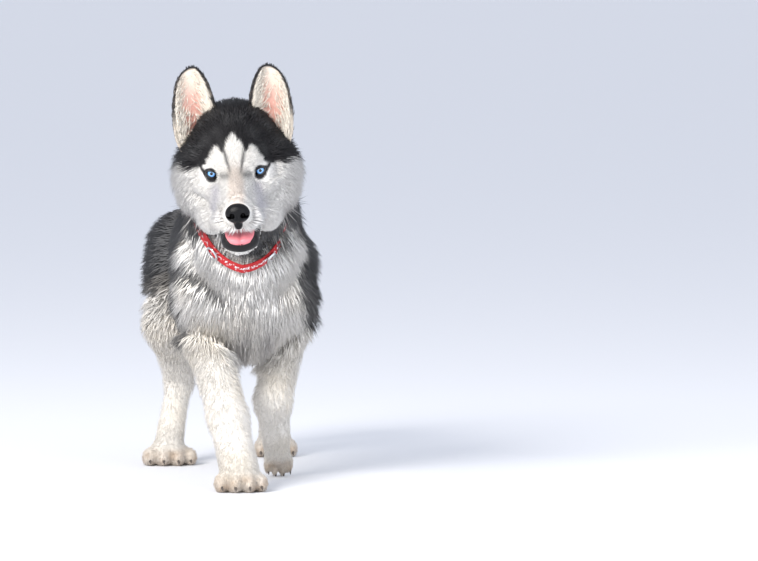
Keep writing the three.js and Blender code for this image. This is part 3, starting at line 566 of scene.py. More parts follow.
def collarRun(turns):
    ways = np.cos(turns)[:, None] * collarDown + np.sin(turns)[:, None] * collarLeft
    near, out = np.full(len(turns), 20.0), np.full(len(turns), 160.0)
    for _ in range(24):
        middle = (near + out) / 2
        outside = neckField(collarCentre + ways * middle[:, None]) > 0
        out = np.where(outside, middle, out)
        near = np.where(outside, near, middle)
    reach = np.minimum(1 / np.hypot(np.sin(turns) / strap["halfWide"], np.cos(turns) / strap["halfTall"]), near)
    return collarCentre + ways * reach[:, None], ways


# Materials.
def newGroup(name, inputs, outputs):
    group = bpy.data.node_groups.new(name, "ShaderNodeTree")
    for socket, kind, value in inputs:
        made = group.interface.new_socket(socket, in_out="INPUT", socket_type=kind)
        if value is not None:
            made.default_value = value
    for socket, kind in outputs:
        group.interface.new_socket(socket, in_out="OUTPUT", socket_type=kind)
    return group, group.nodes.new("NodeGroupInput"), group.nodes.new("NodeGroupOutput")


def strandGroup():
    group, given, put = newGroup(
        "strandVariation",
        [("Colour", "NodeSocketColor", (1, 1, 1, 1)), ("Size", "NodeSocketFloat", 300.0), ("Depth", "NodeSocketFloat", 0.3)],
        [("Colour", "NodeSocketColor"), ("Height", "NodeSocketFloat")])
    nodes, links = group.nodes, group.links
    place = nodes.new("ShaderNodeTexCoord")
    noise = nodes.new("ShaderNodeTexNoise")
    noise.inputs["Detail"].default_value = 4
    links.new(place.outputs["Object"], noise.inputs["Vector"])
    links.new(given.outputs["Size"], noise.inputs["Scale"])
    spread = nodes.new("ShaderNodeMath")
    spread.operation = "MULTIPLY_ADD"
    links.new(noise.outputs["Fac"], spread.inputs[0])
    links.new(given.outputs["Depth"], spread.inputs[1])
    lift = nodes.new("ShaderNodeMath")
    lift.operation = "MULTIPLY_ADD"
    lift.inputs[1].default_value = -0.5
    lift.inputs[2].default_value = 1
    links.new(given.outputs["Depth"], lift.inputs[0])
    links.new(lift.outputs[0], spread.inputs[2])
    scale = nodes.new("ShaderNodeVectorMath")
    scale.operation = "SCALE"
    links.new(given.outputs["Colour"], scale.inputs[0])
    links.new(spread.outputs[0], scale.inputs["Scale"])
    links.new(scale.outputs[0], put.inputs["Colour"])
    links.new(noise.outputs["Fac"], put.inputs["Height"])
    return group


strandVariation = strandGroup()


def newMaterial(name, colour, roughness, **values):
    material = bpy.data.materials.new(name)
    material.use_nodes = True
    shader = material.node_tree.nodes["Principled BSDF"]
    shader.inputs["Base Color"].default_value = (*colour, 1)
    shader.inputs["Roughness"].default_value = roughness
    for socket, value in values.items():
        shader.inputs[socket.replace("_", " ")].default_value = value
    return material, material.node_tree, shader


def coloured(name, roughness, size, depth, bump=0.0, **values):
    material, tree, shader = newMaterial(name, (0.5, 0.5, 0.5), roughness, **values)
    attribute = tree.nodes.new("ShaderNodeVertexColor")
    attribute.layer_name = "coatColour"
    variation = tree.nodes.new("ShaderNodeGroup")
    variation.node_tree = strandVariation
    variation.inputs["Size"].default_value = size
    variation.inputs["Depth"].default_value = depth
    tree.links.new(attribute.outputs["Color"], variation.inputs["Colour"])
    tree.links.new(variation.outputs["Colour"], shader.inputs["Base Color"])
    if bump:
        relief = tree.nodes.new("ShaderNodeBump")
        relief.inputs["Strength"].default_value = bump
        relief.inputs["Distance"].default_value = 0.0006
        tree.links.new(variation.outputs["Height"], relief.inputs["Height"])
        tree.links.new(relief.outputs["Normal"], shader.inputs["Normal"])
    return material


coatLook = coloured("coat", 0.7, 260, 0.24, Specular_IOR_Level=0.2)
skinLook = coloured("skin", 0.85, 700, 0.4, bump=0.7, Specular_IOR_Level=0.2)
wetLook = coloured("wetSkin", 0.36, 500, 0.15, bump=0.35, Specular_IOR_Level=0.3)
noseLook = coloured("noseLeather", 0.2, 1400, 0.3, bump=0.5, Specular_IOR_Level=0.14)
eyeLook = coloured("eyeball", 0.08, 900, 0.3, Specular_IOR_Level=0.35, Coat_Weight=0.5, Coat_Roughness=0.02)
rimLook, _, _ = newMaterial("eyeRim", (0.012, 0.011, 0.012), 0.35)
clawLook, _, _ = newMaterial("claw", (0.09, 0.075, 0.065), 0.4)
metalLook, _, _ = newMaterial("nickel", (0.62, 0.62, 0.63), 0.28, Metallic=1.0)

# Skin.
bodyCell = 3.6
skinPoints, skinFaces = surfaceNet(skinField, (-150, -250, -8), (150, 520, 540), bodyCell)


# Splits every face that pick() names into four, and leaves its neighbours as they are.
def refined(points, faces, field, pick):
    chosen = pick(points[faces].mean(1))
    rest, quads = faces[~chosen], faces[chosen]
    edges = np.sort(np.stack((quads, np.roll(quads, -1, 1)), -1).reshape(-1, 2), 1)
    pairs, inverse = np.unique(edges, axis=0, return_inverse=True)
    inverse = inverse.reshape(-1, 4)
    offset = len(points)
    middles = points[pairs].mean(1)
    centres = points[quads].mean(1)
    e = inverse + offset
    c = np.arange(len(quads)) + offset + len(pairs)
    split = np.concatenate([np.stack((quads[:, i], e[:, i], c, e[:, (i + 3) % 4]), 1) for i in range(4)])
    restEdges = np.sort(np.stack((rest, np.roll(rest, -1, 1)), -1).reshape(-1, 2), 1)
    key = pairs[:, 0].astype(np.int64) * (len(points) + 1) + pairs[:, 1]
    restKey = restEdges[:, 0].astype(np.int64) * (len(points) + 1) + restEdges[:, 1]
    border = np.isin(key, restKey)
    added = np.concatenate((middles, centres))
    movable = np.concatenate((~border, np.ones(len(centres), bool)))
    added[movable] = settle(field, added[movable], 3, bodyCell * 0.6)
    return np.concatenate((points, added)), np.concatenate((rest, split))


def nearFace(p):
    _, forward, _ = toHead(p)
    return headSide(p) & (forward > -26)


skinPoints, skinFaces = refined(skinPoints, skinFaces, skinField, nearFace)
skinPoints[:, 2] = np.maximum(skinPoints[:, 2], 0.0)
inMouth = mouthHollow(skinPoints) < 2.6
# The skin is painted a tenth darker than the coat: painted shade beneath the tufts.
skinColours = markings(skinPoints) * 0.9
skinColours[inMouth] = (0.035, 0.02, 0.022)
fleshNodes = ["head", "neck", "torso", "tail"]
fleshNodes += [f"{part}_{side}" for part in ("foreleg", "hindleg", "forepaw", "hindpaw") for side in ("left", "right")]
addPiece("skin", skinPoints, skinFaces, skinLook, "face_coat", fleshNodes, skinColours)
print("skin", len(skinFaces), flush=True)

# Lower jaw with its black lips, and the tongue.
jaw = {"cell": 1.6, "furDepth": 2.2, "reach": 58}


def jawSkin(p):
    return np.maximum(jawField(p) + jaw["furDepth"], -jawTrough(p))


jawMiddle = jawPoint(0, 14, -60)
jawPoints, jawFaces = surfaceNet(jawSkin, jawMiddle - jaw["reach"], jawMiddle + jaw["reach"], jaw["cell"])


def lipOf(p):
    _, forward, up = toJaw(p)
    return smooth(-0.8, 0.8, up - np.interp(forward, (0, 25, 55), (-56, -62, -66.5)))


lip = lipOf(jawPoints)
# The furred skin of the lower jaw is painted darker than white: painted shade beneath the chin's tufts.
jawColours = mix(white * 0.85, np.array((0.008, 0.007, 0.008)), lip)
jawColours = np.where((jawTrough(jawPoints) < 0.6)[:, None], np.array((0.2, 0.06, 0.07)), jawColours)
addPiece("lowerJaw", jawPoints, jawFaces, wetLook, "face_coat", ["lower_jaw"], jawColours)


def loft(rows):
    rows = np.asarray(rows)
    count, around = rows.shape[:2]
    index = np.arange(count * around).reshape(count, around)
    nextIndex = np.roll(index, -1, 1)
    quads = np.stack((index[:-1], nextIndex[:-1], nextIndex[1:], index[1:]), -1).reshape(-1, 4)
    return rows.reshape(-1, 3), quads


def along(path, t):
    path = np.asarray(path, float)
    where = np.clip(t, 0, 1) * (len(path) - 1)
    i = np.minimum(where.astype(int), len(path) - 2)
    f = (where - i)[:, None]
    before = path[np.maximum(i - 1, 0)]
    after = path[np.minimum(i + 2, len(path) - 1)]
    a, b = path[i], path[i + 1]
    square, cube = 2 * before - 5 * a + 4 * b - after, 3 * a - before - 3 * b + after
    return 0.5 * (2 * a + (b - before) * f + square * f ** 2 + cube * f ** 3)


tongue = {"steps": 40, "around": 40, "pink": np.array((0.80, 0.24, 0.27)), "groove": np.array((0.5, 0.14, 0.17))}
t = np.linspace(0, 1, tongue["steps"])
spine = along([jawPoint(0, -16, -52), jawPoint(0, 4, -47), jawPoint(0, 28, -46), jawPoint(0, 57, -51)], t)
wide = np.interp(t, (0, 0.3, 0.6, 0.85, 0.95, 1), (10, 17, 20, 17.5, 12.5, 0.4))
angles = np.linspace(0, 2 * math.pi, tongue["around"], endpoint=False)
rows = []
for at, w in zip(spine, wide):
    x = np.cos(angles) * w
    z = np.sin(angles) * min(4.2, w * 0.4)
    z = z - 1.6 * np.exp(-(x / 2.6) ** 2) * (z > 0) + 0.12 * np.abs(x) * (w / 17)
    rows.append(at + x[:, None] * jawAxes[0] + z[:, None] * jawAxes[2])
tonguePoints, tongueFaces = loft(rows)
# Painted shade: the tongue is darker along its middle groove.
groove = np.exp(-(((tonguePoints - jawPoint(0, 0, 0)) @ jawAxes[0]) / 2.5) ** 2)
tongueColours = mix(np.tile(tongue["pink"], (len(tonguePoints), 1)), tongue["groove"], groove * 0.6)
addPiece("tongue", tonguePoints, tongueFaces, wetLook, "tongue", ["tongue"], tongueColours)
print("mouth", flush=True)

# Nose leather with its nostrils.
nostrils = [ball(head(s * 6.6, 73, -29), (3.0, 6, 3.4), headAxes) for s in (-1, 1)]
nostrils += [ball(head(s * 11, 69.5, -31.5), (3.6, 6, 1.5), headAxes) for s in (-1, 1)]


def noseField(p):
    side, _, up = toHead(p)
    value = smoothUnion(noseBody(p), philtrum(p), 3)
    for hole in nostrils:
        value = -smoothUnion(-value, hole(p), 1.2)
    return value + 0.7 * np.exp(-(side / 0.8) ** 2) * smooth(-24, -31, up)


noseMiddle = head(0, 64, -31)
nosePoints, noseFaces = surfaceNet(noseField, noseMiddle - 23, noseMiddle + 23, 0.8)
noseColours = np.tile(np.array((0.008, 0.008, 0.009)), (len(nosePoints), 1))
# The nostrils are painted darker still than the leather: painted shade in the holes.
holes = np.min([hole(nosePoints) for hole in nostrils], axis=0)
noseColours[holes < 0.25] = 0.001
addPiece("noseLeather", nosePoints, noseFaces, noseLook, "nose", ["nose"], noseColours)

# Eyes: a ball with its iris and pupil on a bulge, and a black rim of lid round the opening.
eye = {"radius": 10.5, "iris": 4.7, "pupil": 1.7, "bulge": 0.8, "around": 72, "lookDown": 0.17,
       "rimHalf": 9.4, "rimTop": 6.1, "rimBottom": 4.6, "rimWide": 2.6, "rimThick": 0.9, "lid": 11.1}
for s, side in ((1, "left"), (-1, "right")):
    gaze = unit((0.03 + s * 0.05, -1, -eye["lookDown"]))
    first = unit(np.cross(gaze, upward))
    second = np.cross(first, gaze)
    polar = np.concatenate((np.linspace(0.02, 0.75, 60), np.linspace(0.79, math.pi - 0.02, 24)))
    around = np.linspace(0, 2 * math.pi, eye["around"], endpoint=False)
    rows = []
    for angle in polar:
        reach = eye["radius"] + eye["bulge"] * math.exp(-(angle / 0.5) ** 4) - 0.25
        ring = np.cos(around)[:, None] * first + np.sin(around)[:, None] * second
        rows.append(eyeCentres[s] + reach * (math.cos(angle) * gaze + math.sin(angle) * ring))
    points, faces = loft(rows)
    faces = faces[:, ::-1]
    fromGaze = np.repeat(polar, eye["around"])
    around = np.tile(around, len(polar))
    radius = np.sin(fromGaze) * eye["radius"]
    fibre = 0.5 + 0.5 * np.sin(around * 37 + 3 * np.sin(around * 5)) * np.sin(around * 11 + 1)
    iris = mix(np.array((0.07, 0.26, 0.66)), np.array((0.26, 0.52, 0.86)), fibre * 0.75)
    iris = mix(iris, np.array((0.45, 0.68, 0.92)), smooth(3.2, 2.0, radius) * 0.5)
    iris = mix(iris, np.array((0.01, 0.03, 0.08)), smooth(eye["iris"] - 0.9, eye["iris"], radius))
    colour = mix(iris, np.array((0.012, 0.01, 0.01)), smooth(eye["iris"], eye["iris"] + 0.3, radius))
    colour = mix(colour, np.array((0.004, 0.004, 0.006)), smooth(eye["pupil"] + 0.25, eye["pupil"], radius))
    addPiece(f"eye_{side}_ball", points, faces, eyeLook, "eye", ["eye_" + side], colour)

    # The rim follows the opening's outline, laid on the lids' surface.
    turn = np.linspace(0, 2 * math.pi, eye["around"], endpoint=False)
    tilt = s * opening["tilt"]
    a = eye["rimHalf"] * np.cos(turn)
    b = np.where(np.sin(turn) > 0, eye["rimTop"], eye["rimBottom"]) * np.abs(np.sin(turn)) ** 1.35 * np.sign(np.sin(turn))
    x = a * math.cos(tilt) - b * math.sin(tilt)
    z = a * math.sin(tilt) + b * math.cos(tilt)
    y = np.sqrt(np.maximum(eye["lid"] ** 2 - x ** 2 - z ** 2, 16)) - 0.2
    path = eyeCentres[s] + x[:, None] * headAxes[0] + y[:, None] * headAxes[1] + z[:, None] * headAxes[2]
    tangent = unit(np.roll(path, -1, 0) - np.roll(path, 1, 0))
    outward = unit(path - eyeCentres[s])
    flat = np.cross(tangent, outward)
    rows = []
    for angle in np.linspace(0, 2 * math.pi, 10, endpoint=False):
        rows.append(path + flat * eye["rimWide"] * math.cos(angle) + outward * eye["rimThick"] * math.sin(angle))
    rows.append(rows[0])
    points, faces = loft(rows)
    addPiece(f"eyeRim_{side}", points, faces, rimLook, "eye")
print("eyes", flush=True)

# Ears: a cup open forwards, its edges read from the front.
earInner = ((14, 26, -62), (18, 52, -61), (21.5, 72, -60), (26.5, 92, -60), (34, 108, -61), (43.5, 118.5, -62))
earOuter = ((62, 2, -46), (71, 22, -50), (74, 46, -54), (73, 70, -57), (67.5, 95, -60), (57, 113, -62))


def earEdge(points, s, t):
    return along([head(s * a, f, u * (0.97 if s > 0 else 1)) for a, u, f in points], t)


def earSurface(s, t, across):
    t = t * (0.975 - 0.05 * (2 * across - 1) ** 2 * smooth(0.8, 1, t))
    inner, outer = earEdge(earInner, s, t), earEdge(earOuter, s, t)
    depth = (ear["cupLow"] + (ear["cupTop"] - ear["cupLow"]) * t) * (1 - (2 * across - 1) ** 2)
    return inner + (outer - inner) * across[:, None] - depth[:, None] * headAxes[1]


ear = {"rows": 40, "columns": 26, "thick": 2.0, "cupLow": 21, "cupTop": 3,
       "pink": np.array((0.66, 0.36, 0.30)), "rim": np.array((0.02, 0.02, 0.022)),
       "inner": np.array((0.80, 0.70, 0.60)), "deep": np.array((0.42, 0.10, 0.08))}


def earInside(t, across):
    edge = np.minimum(across, 1 - across) * 2
    colour = mix(np.tile(ear["inner"], (len(t), 1)), ear["pink"], smooth(0.15, 0.5, edge) * smooth(0.9, 0.4, t))
    colour = mix(colour, ear["deep"], smooth(0.5, 0.9, edge) * smooth(0.3, 0.12, t) * 0.6)
    outerLow = smooth(0.5, 0.3, t) * (across > 0.5)
    return mix(colour, ear["rim"], np.maximum(smooth(0.1, 0.03, edge), smooth(0.93, 0.965, t)) * (1 - outerLow))


for s, side in ((1, "left"), (-1, "right")):
    grid = np.meshgrid(np.linspace(0, 1, ear["rows"]), np.linspace(0, 1, ear["columns"]), indexing="ij")
    t, across = (g.ravel() for g in grid)
    front = earSurface(s, t, across) - headAxes[1] * 1.0
    back = front - headAxes[1] * ear["thick"]
    n, m = ear["rows"], ear["columns"]
    index = np.arange(n * m).reshape(n, m)
    quads = np.stack((index[:-1, :-1], index[:-1, 1:], index[1:, 1:], index[1:, :-1]), -1).reshape(-1, 4)
    ring = np.concatenate((index[0, :], index[1:, -1], index[-1, -2::-1], index[-2:0:-1, 0]))
    after = np.roll(ring, -1)
    size = n * m
    border = np.stack((ring, ring + size, after + size, after), 1)
    faces = np.concatenate((quads, quads[:, ::-1] + size, border))
    if s > 0:
        faces = faces[:, ::-1]
    colours = np.concatenate((earInside(t, across), np.tile(black * 1.3, (size, 1))))
    addPiece(f"ear_{side}_shell", np.concatenate((front, back)), faces, skinLook, "ear", ["ear_" + side], colours)
print("ears", flush=True)

# Claws.
points, faces = [], []
for tip, way in claws:
    sideways = unit(leftward - way * (leftward @ way))
    over = np.cross(way, sideways)
    turn = np.linspace(0, 2 * math.pi, 10, endpoint=False)
    rows = []
    for t, radius in claw["profile"]:
        centre = tip - way * claw["length"] * (1 - t) + over * 2.2 * math.sin(t * math.pi) * 0.5
        rows.append(centre + radius * (np.cos(turn)[:, None] * sideways * 0.8 + np.sin(turn)[:, None] * over))
    rowPoints, rowFaces = loft(rows)
    faces.append(rowFaces + sum(len(q) for q in points))
    points.append(rowPoints)
addPiece("claws", np.concatenate(points), np.concatenate(faces), clawLook, "pale_coat")

# Collar: a woven strap, with frost on it, a ring and a slide.
strap = {"width": 12.0, "thick": 2.6, "turns": 220, "halfWide": 63, "halfTall": 80, "twist": 30,
         "bareFrom": -0.52, "bareTo": 1.12}  # the strap shows between these turns, in radians from its lowest point
strapLook, tree, shader = newMaterial("webbing", (0.45, 0.01, 0.014), 0.6)
place = tree.nodes.new("ShaderNodeTexCoord")
weave = tree.nodes.new("ShaderNodeTexVoronoi")
weave.inputs["Scale"].default_value = 900
relief = tree.nodes.new("ShaderNodeBump")
relief.inputs["Strength"].default_value = 0.6
relief.inputs["Distance"].default_value = 0.0004
frost = tree.nodes.new("ShaderNodeTexNoise")
frost.inputs["Scale"].default_value = 260
frost.inputs["Detail"].default_value = 6
ramp = tree.nodes.new("ShaderNodeValToRGB")
ramp.color_ramp.elements[0].position = 0.60
ramp.color_ramp.elements[0].color = (0.45, 0.008, 0.012, 1)
ramp.color_ramp.elements[1].position = 0.68
ramp.color_ramp.elements[1].color = (0.8, 0.66, 0.66, 1)
tree.links.new(place.outputs["Object"], weave.inputs["Vector"])
tree.links.new(place.outputs["Object"], frost.inputs["Vector"])
tree.links.new(weave.outputs["Distance"], relief.inputs["Height"])
tree.links.new(relief.outputs["Normal"], shader.inputs["Normal"])
tree.links.new(frost.outputs["Fac"], ramp.inputs["Fac"])
tree.links.new(ramp.outputs["Color"], shader.inputs["Base Color"])

turns = np.linspace(0, 2 * math.pi, strap["turns"], endpoint=False)
run, ways = collarRun(turns)
twist = math.radians(strap["twist"]) * smooth(0.0, 0.6, np.cos(turns))[:, None]
flatWays = collarSquare * np.cos(twist) + ways * np.sin(twist)
faceWays = ways * np.cos(twist) - collarSquare * np.sin(twist)
profile = []
for angle in np.linspace(0, 2 * math.pi, 20, endpoint=False):
    c, s = math.cos(angle), math.sin(angle)
    across = math.copysign(abs(c) ** 0.35, c) * strap["width"] / 2
    out = math.copysign(abs(s) ** 0.6, s) * strap["thick"] / 2
    profile.append(run + flatWays * across + faceWays * out)
profile.append(profile[0])
points, faces = loft(profile)
addPiece("strap", points, faces, strapLook, "webbing", ["collar"])


def onStrap(turn, out):
    before, _ = collarRun(np.array([turn - 0.06]))
    after, _ = collarRun(np.array([turn + 0.06]))
    at, way = collarRun(np.array([turn]))
    way3 = unit(after[0] - before[0])
    outward = unit(np.cross(way3, collarSquare))
    if outward @ way[0] < 0:
        outward = -outward
    return at[0] + outward * (1.5 + out), way3, outward


ringPart = {"turn": -0.42, "out": 2.3, "radius": 8.5, "wire": 1.45}
ringCentre, ringRun, ringOut = onStrap(ringPart["turn"], ringPart["out"])
angles = np.linspace(0, 2 * math.pi, 48, endpoint=False)
rows = []
for angle in np.linspace(0, 2 * math.pi, 14, endpoint=False):
    reach = ringPart["radius"] + ringPart["wire"] * math.cos(angle)
    rows.append(ringCentre + np.cos(angles)[:, None] * collarSquare * reach + np.sin(angles)[:, None] * ringRun * reach
                + ringOut * ringPart["wire"] * math.sin(angle))
rows.append(rows[0])
points, faces = loft(rows)
addPiece("ringMetal", points, faces, metalLook, "metal", ["collar_ring"])

slide = {"turn": 0.62, "out": 2.1, "outer": (9.3, 6.8), "inner": (6.4, 1.8), "thick": 2.4}
slideCentre, slideRun, slideOut = onStrap(slide["turn"], slide["out"])
rows = []
for edge, height in (("outer", -1), ("outer", 1), ("inner", 1), ("inner", -1), ("outer", -1)):
    row = []
    for angle in np.linspace(0, 2 * math.pi, 48, endpoint=False):
        c, s = math.cos(angle), math.sin(angle)
        wide, high = slide[edge]
        row.append(slideCentre + collarSquare * math.copysign(abs(c) ** 0.4, c) * wide
                   + slideRun * math.copysign(abs(s) ** 0.4, s) * high + slideOut * height * slide["thick"] / 2)
    rows.append(row)
points, faces = loft(rows)
addPiece("slideMetal", points, faces, metalLook, "metal", ["collar_slide"])

# Crumbs of frost on the lower loop of the strap.
crumbs = {"count": 260, "small": 0.35, "large": 1.0}
turns = draw.normal(0.15, 0.42, crumbs["count"])
run, ways = collarRun(turns)
centres = run + ways * 1.5 + collarSquare * draw.uniform(-5.5, 5.5, crumbs["count"])[:, None]
sizes = draw.uniform(crumbs["small"], crumbs["large"], crumbs["count"])
corners = np.array(((1, 0, 0), (-1, 0, 0), (0, 1, 0), (0, -1, 0), (0, 0, 1), (0, 0, -1)), float)
sides = np.array(((0, 2, 4), (2, 1, 4), (1, 3, 4), (3, 0, 4), (2, 0, 5), (1, 2, 5), (3, 1, 5), (0, 3, 5)))
points = centres[:, None] + corners * sizes[:, None, None] * draw.uniform(0.7, 1.2, (crumbs["count"], 6, 1))
faces = (np.arange(crumbs["count"])[:, None, None] * 6 + sides).reshape(-1, 3)
frostLook, _, _ = newMaterial("frost", (0.9, 0.92, 0.95), 0.5)
addPiece("frostCrumbs", points.reshape(-1, 3), faces, frostLook, "webbing", smoothShade=False)
print("collar", flush=True)


# Where each place on the skin lies on an unwrap of it: polar on the head, rolled out elsewhere.
def unwrapHead(p):
    d = p - head(0, -35, -8)
    s, f, u = d @ headAxes[0], d @ headAxes[1], d @ headAxes[2]
    turned = np.arctan2(s, u) / (2 * math.pi) + 0.5
    return np.stack((turned, np.arccos(f / np.linalg.norm(d, axis=1)) / math.pi), 1)


def unwrapNeck(p):
    d = p - collarCentre
    turned = np.arctan2(d @ collarLeft, -(d @ collarDown)) / (2 * math.pi) + 0.5
    return np.stack((turned, (d @ collarSquare + 110) / 240), 1)


def unwrapTrunk(p):
    a, side, up = toBody(p)
    return np.stack((np.arctan2(side, up - 262) / (2 * math.pi) + 0.5, (a + 80) / 560), 1)


def unwrapTail(p):
    a, side, up = toBody(p)
    turned = np.arctan2(side, a - np.interp(up, (100, 200, 300), (458, 470, 425))) / (2 * math.pi) + 0.5
    return np.stack((turned, (up - 80) / 270), 1)


def nearestLeg(p):
    fromBones = []
    for leg in legs.values():
        bones = [limb(leg[a], leg[b], 30, 24) for a, b in (("top", "joint"), ("joint", "low"), ("low", "knuckle"))]
        fromBones.append(np.min([bone(p) for bone in bones], axis=0))
    return np.argmin(fromBones, axis=0)


def unwrapLegs(p):
    which = nearestLeg(p)
    centres = []
    for leg in legs.values():
        chain = np.array([leg["knuckle"] - upward * 26, leg["low"], leg["joint"], leg["top"]])
        centres.append(np.stack([np.interp(p[:, 2], chain[:, 2], chain[:, i]) for i in (0, 1)], 1))
    centre = np.array(centres)[which, np.arange(len(p))]
    angle = np.arctan2(p[:, 0] - centre[:, 0], -(p[:, 1] - centre[:, 1])) / (2 * math.pi) + 0.5
    return np.stack(((angle * 0.96 + 0.02 + which % 2) / 2, p[:, 2] / 330), 1)


# The lie of the coat at each place.
def lieOf(p, region):
    side, forward, up = toHead(p)
    alongBody, out, _ = toBody(p)
    if region == "head":
        muzzle = smooth(28, 46, forward)
        cheek = smooth(30, 55, np.abs(side)) * smooth(25, -5, up)
        down = -0.15 - smooth(0, -45, up) * 0.5 * (1 - muzzle) - cheek * 1.0
        local = np.stack((side * (0.012 + 0.09 * muzzle), np.full(len(p), -1.0) + 0.3 * cheek, down), 1)
        return local @ headAxes
    if region == "neck":
        return neckWay - upward * 0.75 + leftward * (out * 0.004)[:, None]
    if region == "legs":
        return np.tile(-upward + rearward * 0.25, (len(p), 1))
    if region == "tail":
        t = np.clip((330 - p[:, 2]) / 226, 0, 1)
        ahead = along(tailPath, np.clip(t + 0.05, 0, 1)) - along(tailPath, np.clip(t - 0.05, 0, 1))
        return unit(ahead) + upward * -0.2
    front = smooth(30, -10, alongBody)[:, None]
    falls = np.interp(alongBody, (60, 150, 260), (1.3, 0.8, 0.45))[:, None]
    lie = (rearward - upward * falls) * (1 - front) + (-upward + rearward * 0.1) * front
    return lie + leftward * (out * 0.002)[:, None]


# One piece of coat: solid tufts of three edges. The first ones bend on their way to the tip, and the finer rest
# are straight.
# Each tuft is darkened towards its root by the root factor: painted shade deep in the coat.
tuft = {"sunk": 1.2, "sway": 0.12, "bend": 0.07, "shade": 0.05, "root": 0.95, "fine": 0.78, "floor": 0.3}
bentFaces = np.array(((0, 1, 4), (0, 4, 3), (1, 2, 5), (1, 5, 4), (2, 0, 3), (2, 3, 5), (3, 4, 6), (4, 5, 6),
                      (5, 3, 6), (2, 1, 0)))
straightFaces = np.array(((0, 1, 3), (1, 2, 3), (2, 0, 3), (2, 1, 0)))
halfPatch = 0.0015  # of a tuft's patch on the unwrap
bentPatch = np.array(((-1, -1), (1, -1), (0, -0.8), (-0.8, 0), (0.8, 0), (0, 0.2), (0, 1))) * halfPatch
straightPatch = np.array(((-1, -1), (1, -1), (0, -0.8), (0, 1))) * halfPatch


def addTufts(name, slot, roots, normals, lies, lengths, widths, rises, colours, tipShade, uvs, bent=None):
    count = len(roots)
    bent = count if bent is None else min(bent, count)
    lies = unit(lies - normals * (lies * normals).sum(1)[:, None])
    lies = unit(lies + np.cross(normals, lies) * draw.normal(0, tuft["sway"], count)[:, None])
    sides = np.cross(normals, lies)
    bend = (draw.normal(0, tuft["bend"], count) * lengths)[:, None]
    base = roots - normals * tuft["sunk"]
    w = (widths * np.where(np.arange(count) < bent, 1, tuft["fine"]) / 2)[:, None]
    first, second, third = base - sides * w, base + sides * w, base + normals * w * 0.7
    middle = roots + lies * (lengths * 0.45)[:, None] + normals * (rises * 0.72)[:, None] + sides * bend
    tip = roots + lies * lengths[:, None] + normals * rises[:, None]
    shade = colours * draw.normal(1, tuft["shade"], count)[:, None]
    # Darker roots: painted shade deep in the coat.
    paintedRootShade, tipColour = shade * tuft["root"], shade * tipShade[:, None]
    full = [first, second, third, middle - sides * w, middle + sides * w, middle + normals * w * 0.6, tip]
    some = slice(0, bent)
    points = np.stack([corner[some] for corner in full], 1).reshape(-1, 3)
    faces = (np.arange(bent)[:, None, None] * 7 + bentFaces).reshape(-1, 3)
    tint = np.stack([paintedRootShade[some]] * 3 + [shade[some]] * 3 + [tipColour[some]], 1).reshape(-1, 3)
    uv = (uvs[some, None, :] + bentPatch).reshape(-1, 2)
    rest = slice(bent, count)
    if bent < count:
        more = (np.arange(count - bent)[:, None, None] * 4 + straightFaces).reshape(-1, 3)
        faces = np.concatenate((faces, more + len(points)))
        more = np.stack([first[rest], second[rest], third[rest], tip[rest]], 1).reshape(-1, 3)
        points = np.concatenate((points, more))
        tint = np.concatenate((tint, np.stack([paintedRootShade[rest]] * 3 + [tipColour[rest]], 1).reshape(-1, 3)))
        uv = np.concatenate((uv, (uvs[rest, None, :] + straightPatch).reshape(-1, 2)))
    points[:, 2] = np.maximum(points[:, 2], tuft["floor"])
    return addPiece(name, points, faces, coatLook, slot, (), np.clip(tint, 0, 1), np.clip(uv, 0, 1))


# Draws roots over the skin, more where the weight is larger.
triangles = np.concatenate((skinFaces[:, [0, 1, 2]], skinFaces[:, [0, 2, 3]]))
corner = skinPoints[triangles]
cross = np.cross(corner[:, 1] - corner[:, 0], corner[:, 2] - corner[:, 0])
areas = np.linalg.norm(cross, axis=1) / 2
middles = corner.mean(1)
vertexNormals = np.zeros_like(skinPoints)
for i in range(3):
    np.add.at(vertexNormals, triangles[:, i], cross)
vertexNormals = unit(vertexNormals)

isTail = tailField(middles) < coatField(middles) - 2
isHead = headSide(middles) & ~isTail
isNeck = neckSide(middles) & ~isTail & ~isHead
isLeg = (trunkField(middles) > -10) & ~isTail & ~isHead & ~isNeck & (middles[:, 2] < 235)
isTrunk = ~(isTail | isHead | isNeck | isLeg)
isFront = toBody(middles)[0] < 200


def roots(mask, count, weight):
    chosen = np.nonzero(mask)[0]
    share = areas[chosen] * weight(middles[chosen])
    picked = draw.choice(chosen, count, p=share / share.sum())
    a, b = draw.random(count), draw.random(count)
    flip = a + b > 1
    a[flip], b[flip] = 1 - a[flip], 1 - b[flip]
    weights = np.stack((1 - a - b, a, b), 1)[:, :, None]
    return (corner[picked] * weights).sum(1), unit((vertexNormals[triangles[picked]] * weights).sum(1))


def headWeight(p):
    _, forward, _ = toHead(p)
    return np.interp(forward, (-90, -30, 0, 30, 70), (1, 1.5, 3.4, 4.5, 4.5))


def plain(p):
    return np.ones(len(p))


def pawWeight(p):
    return np.interp(p[:, 2], (0, 36, 60, 200), (5.5, 4.5, 1.3, 1))


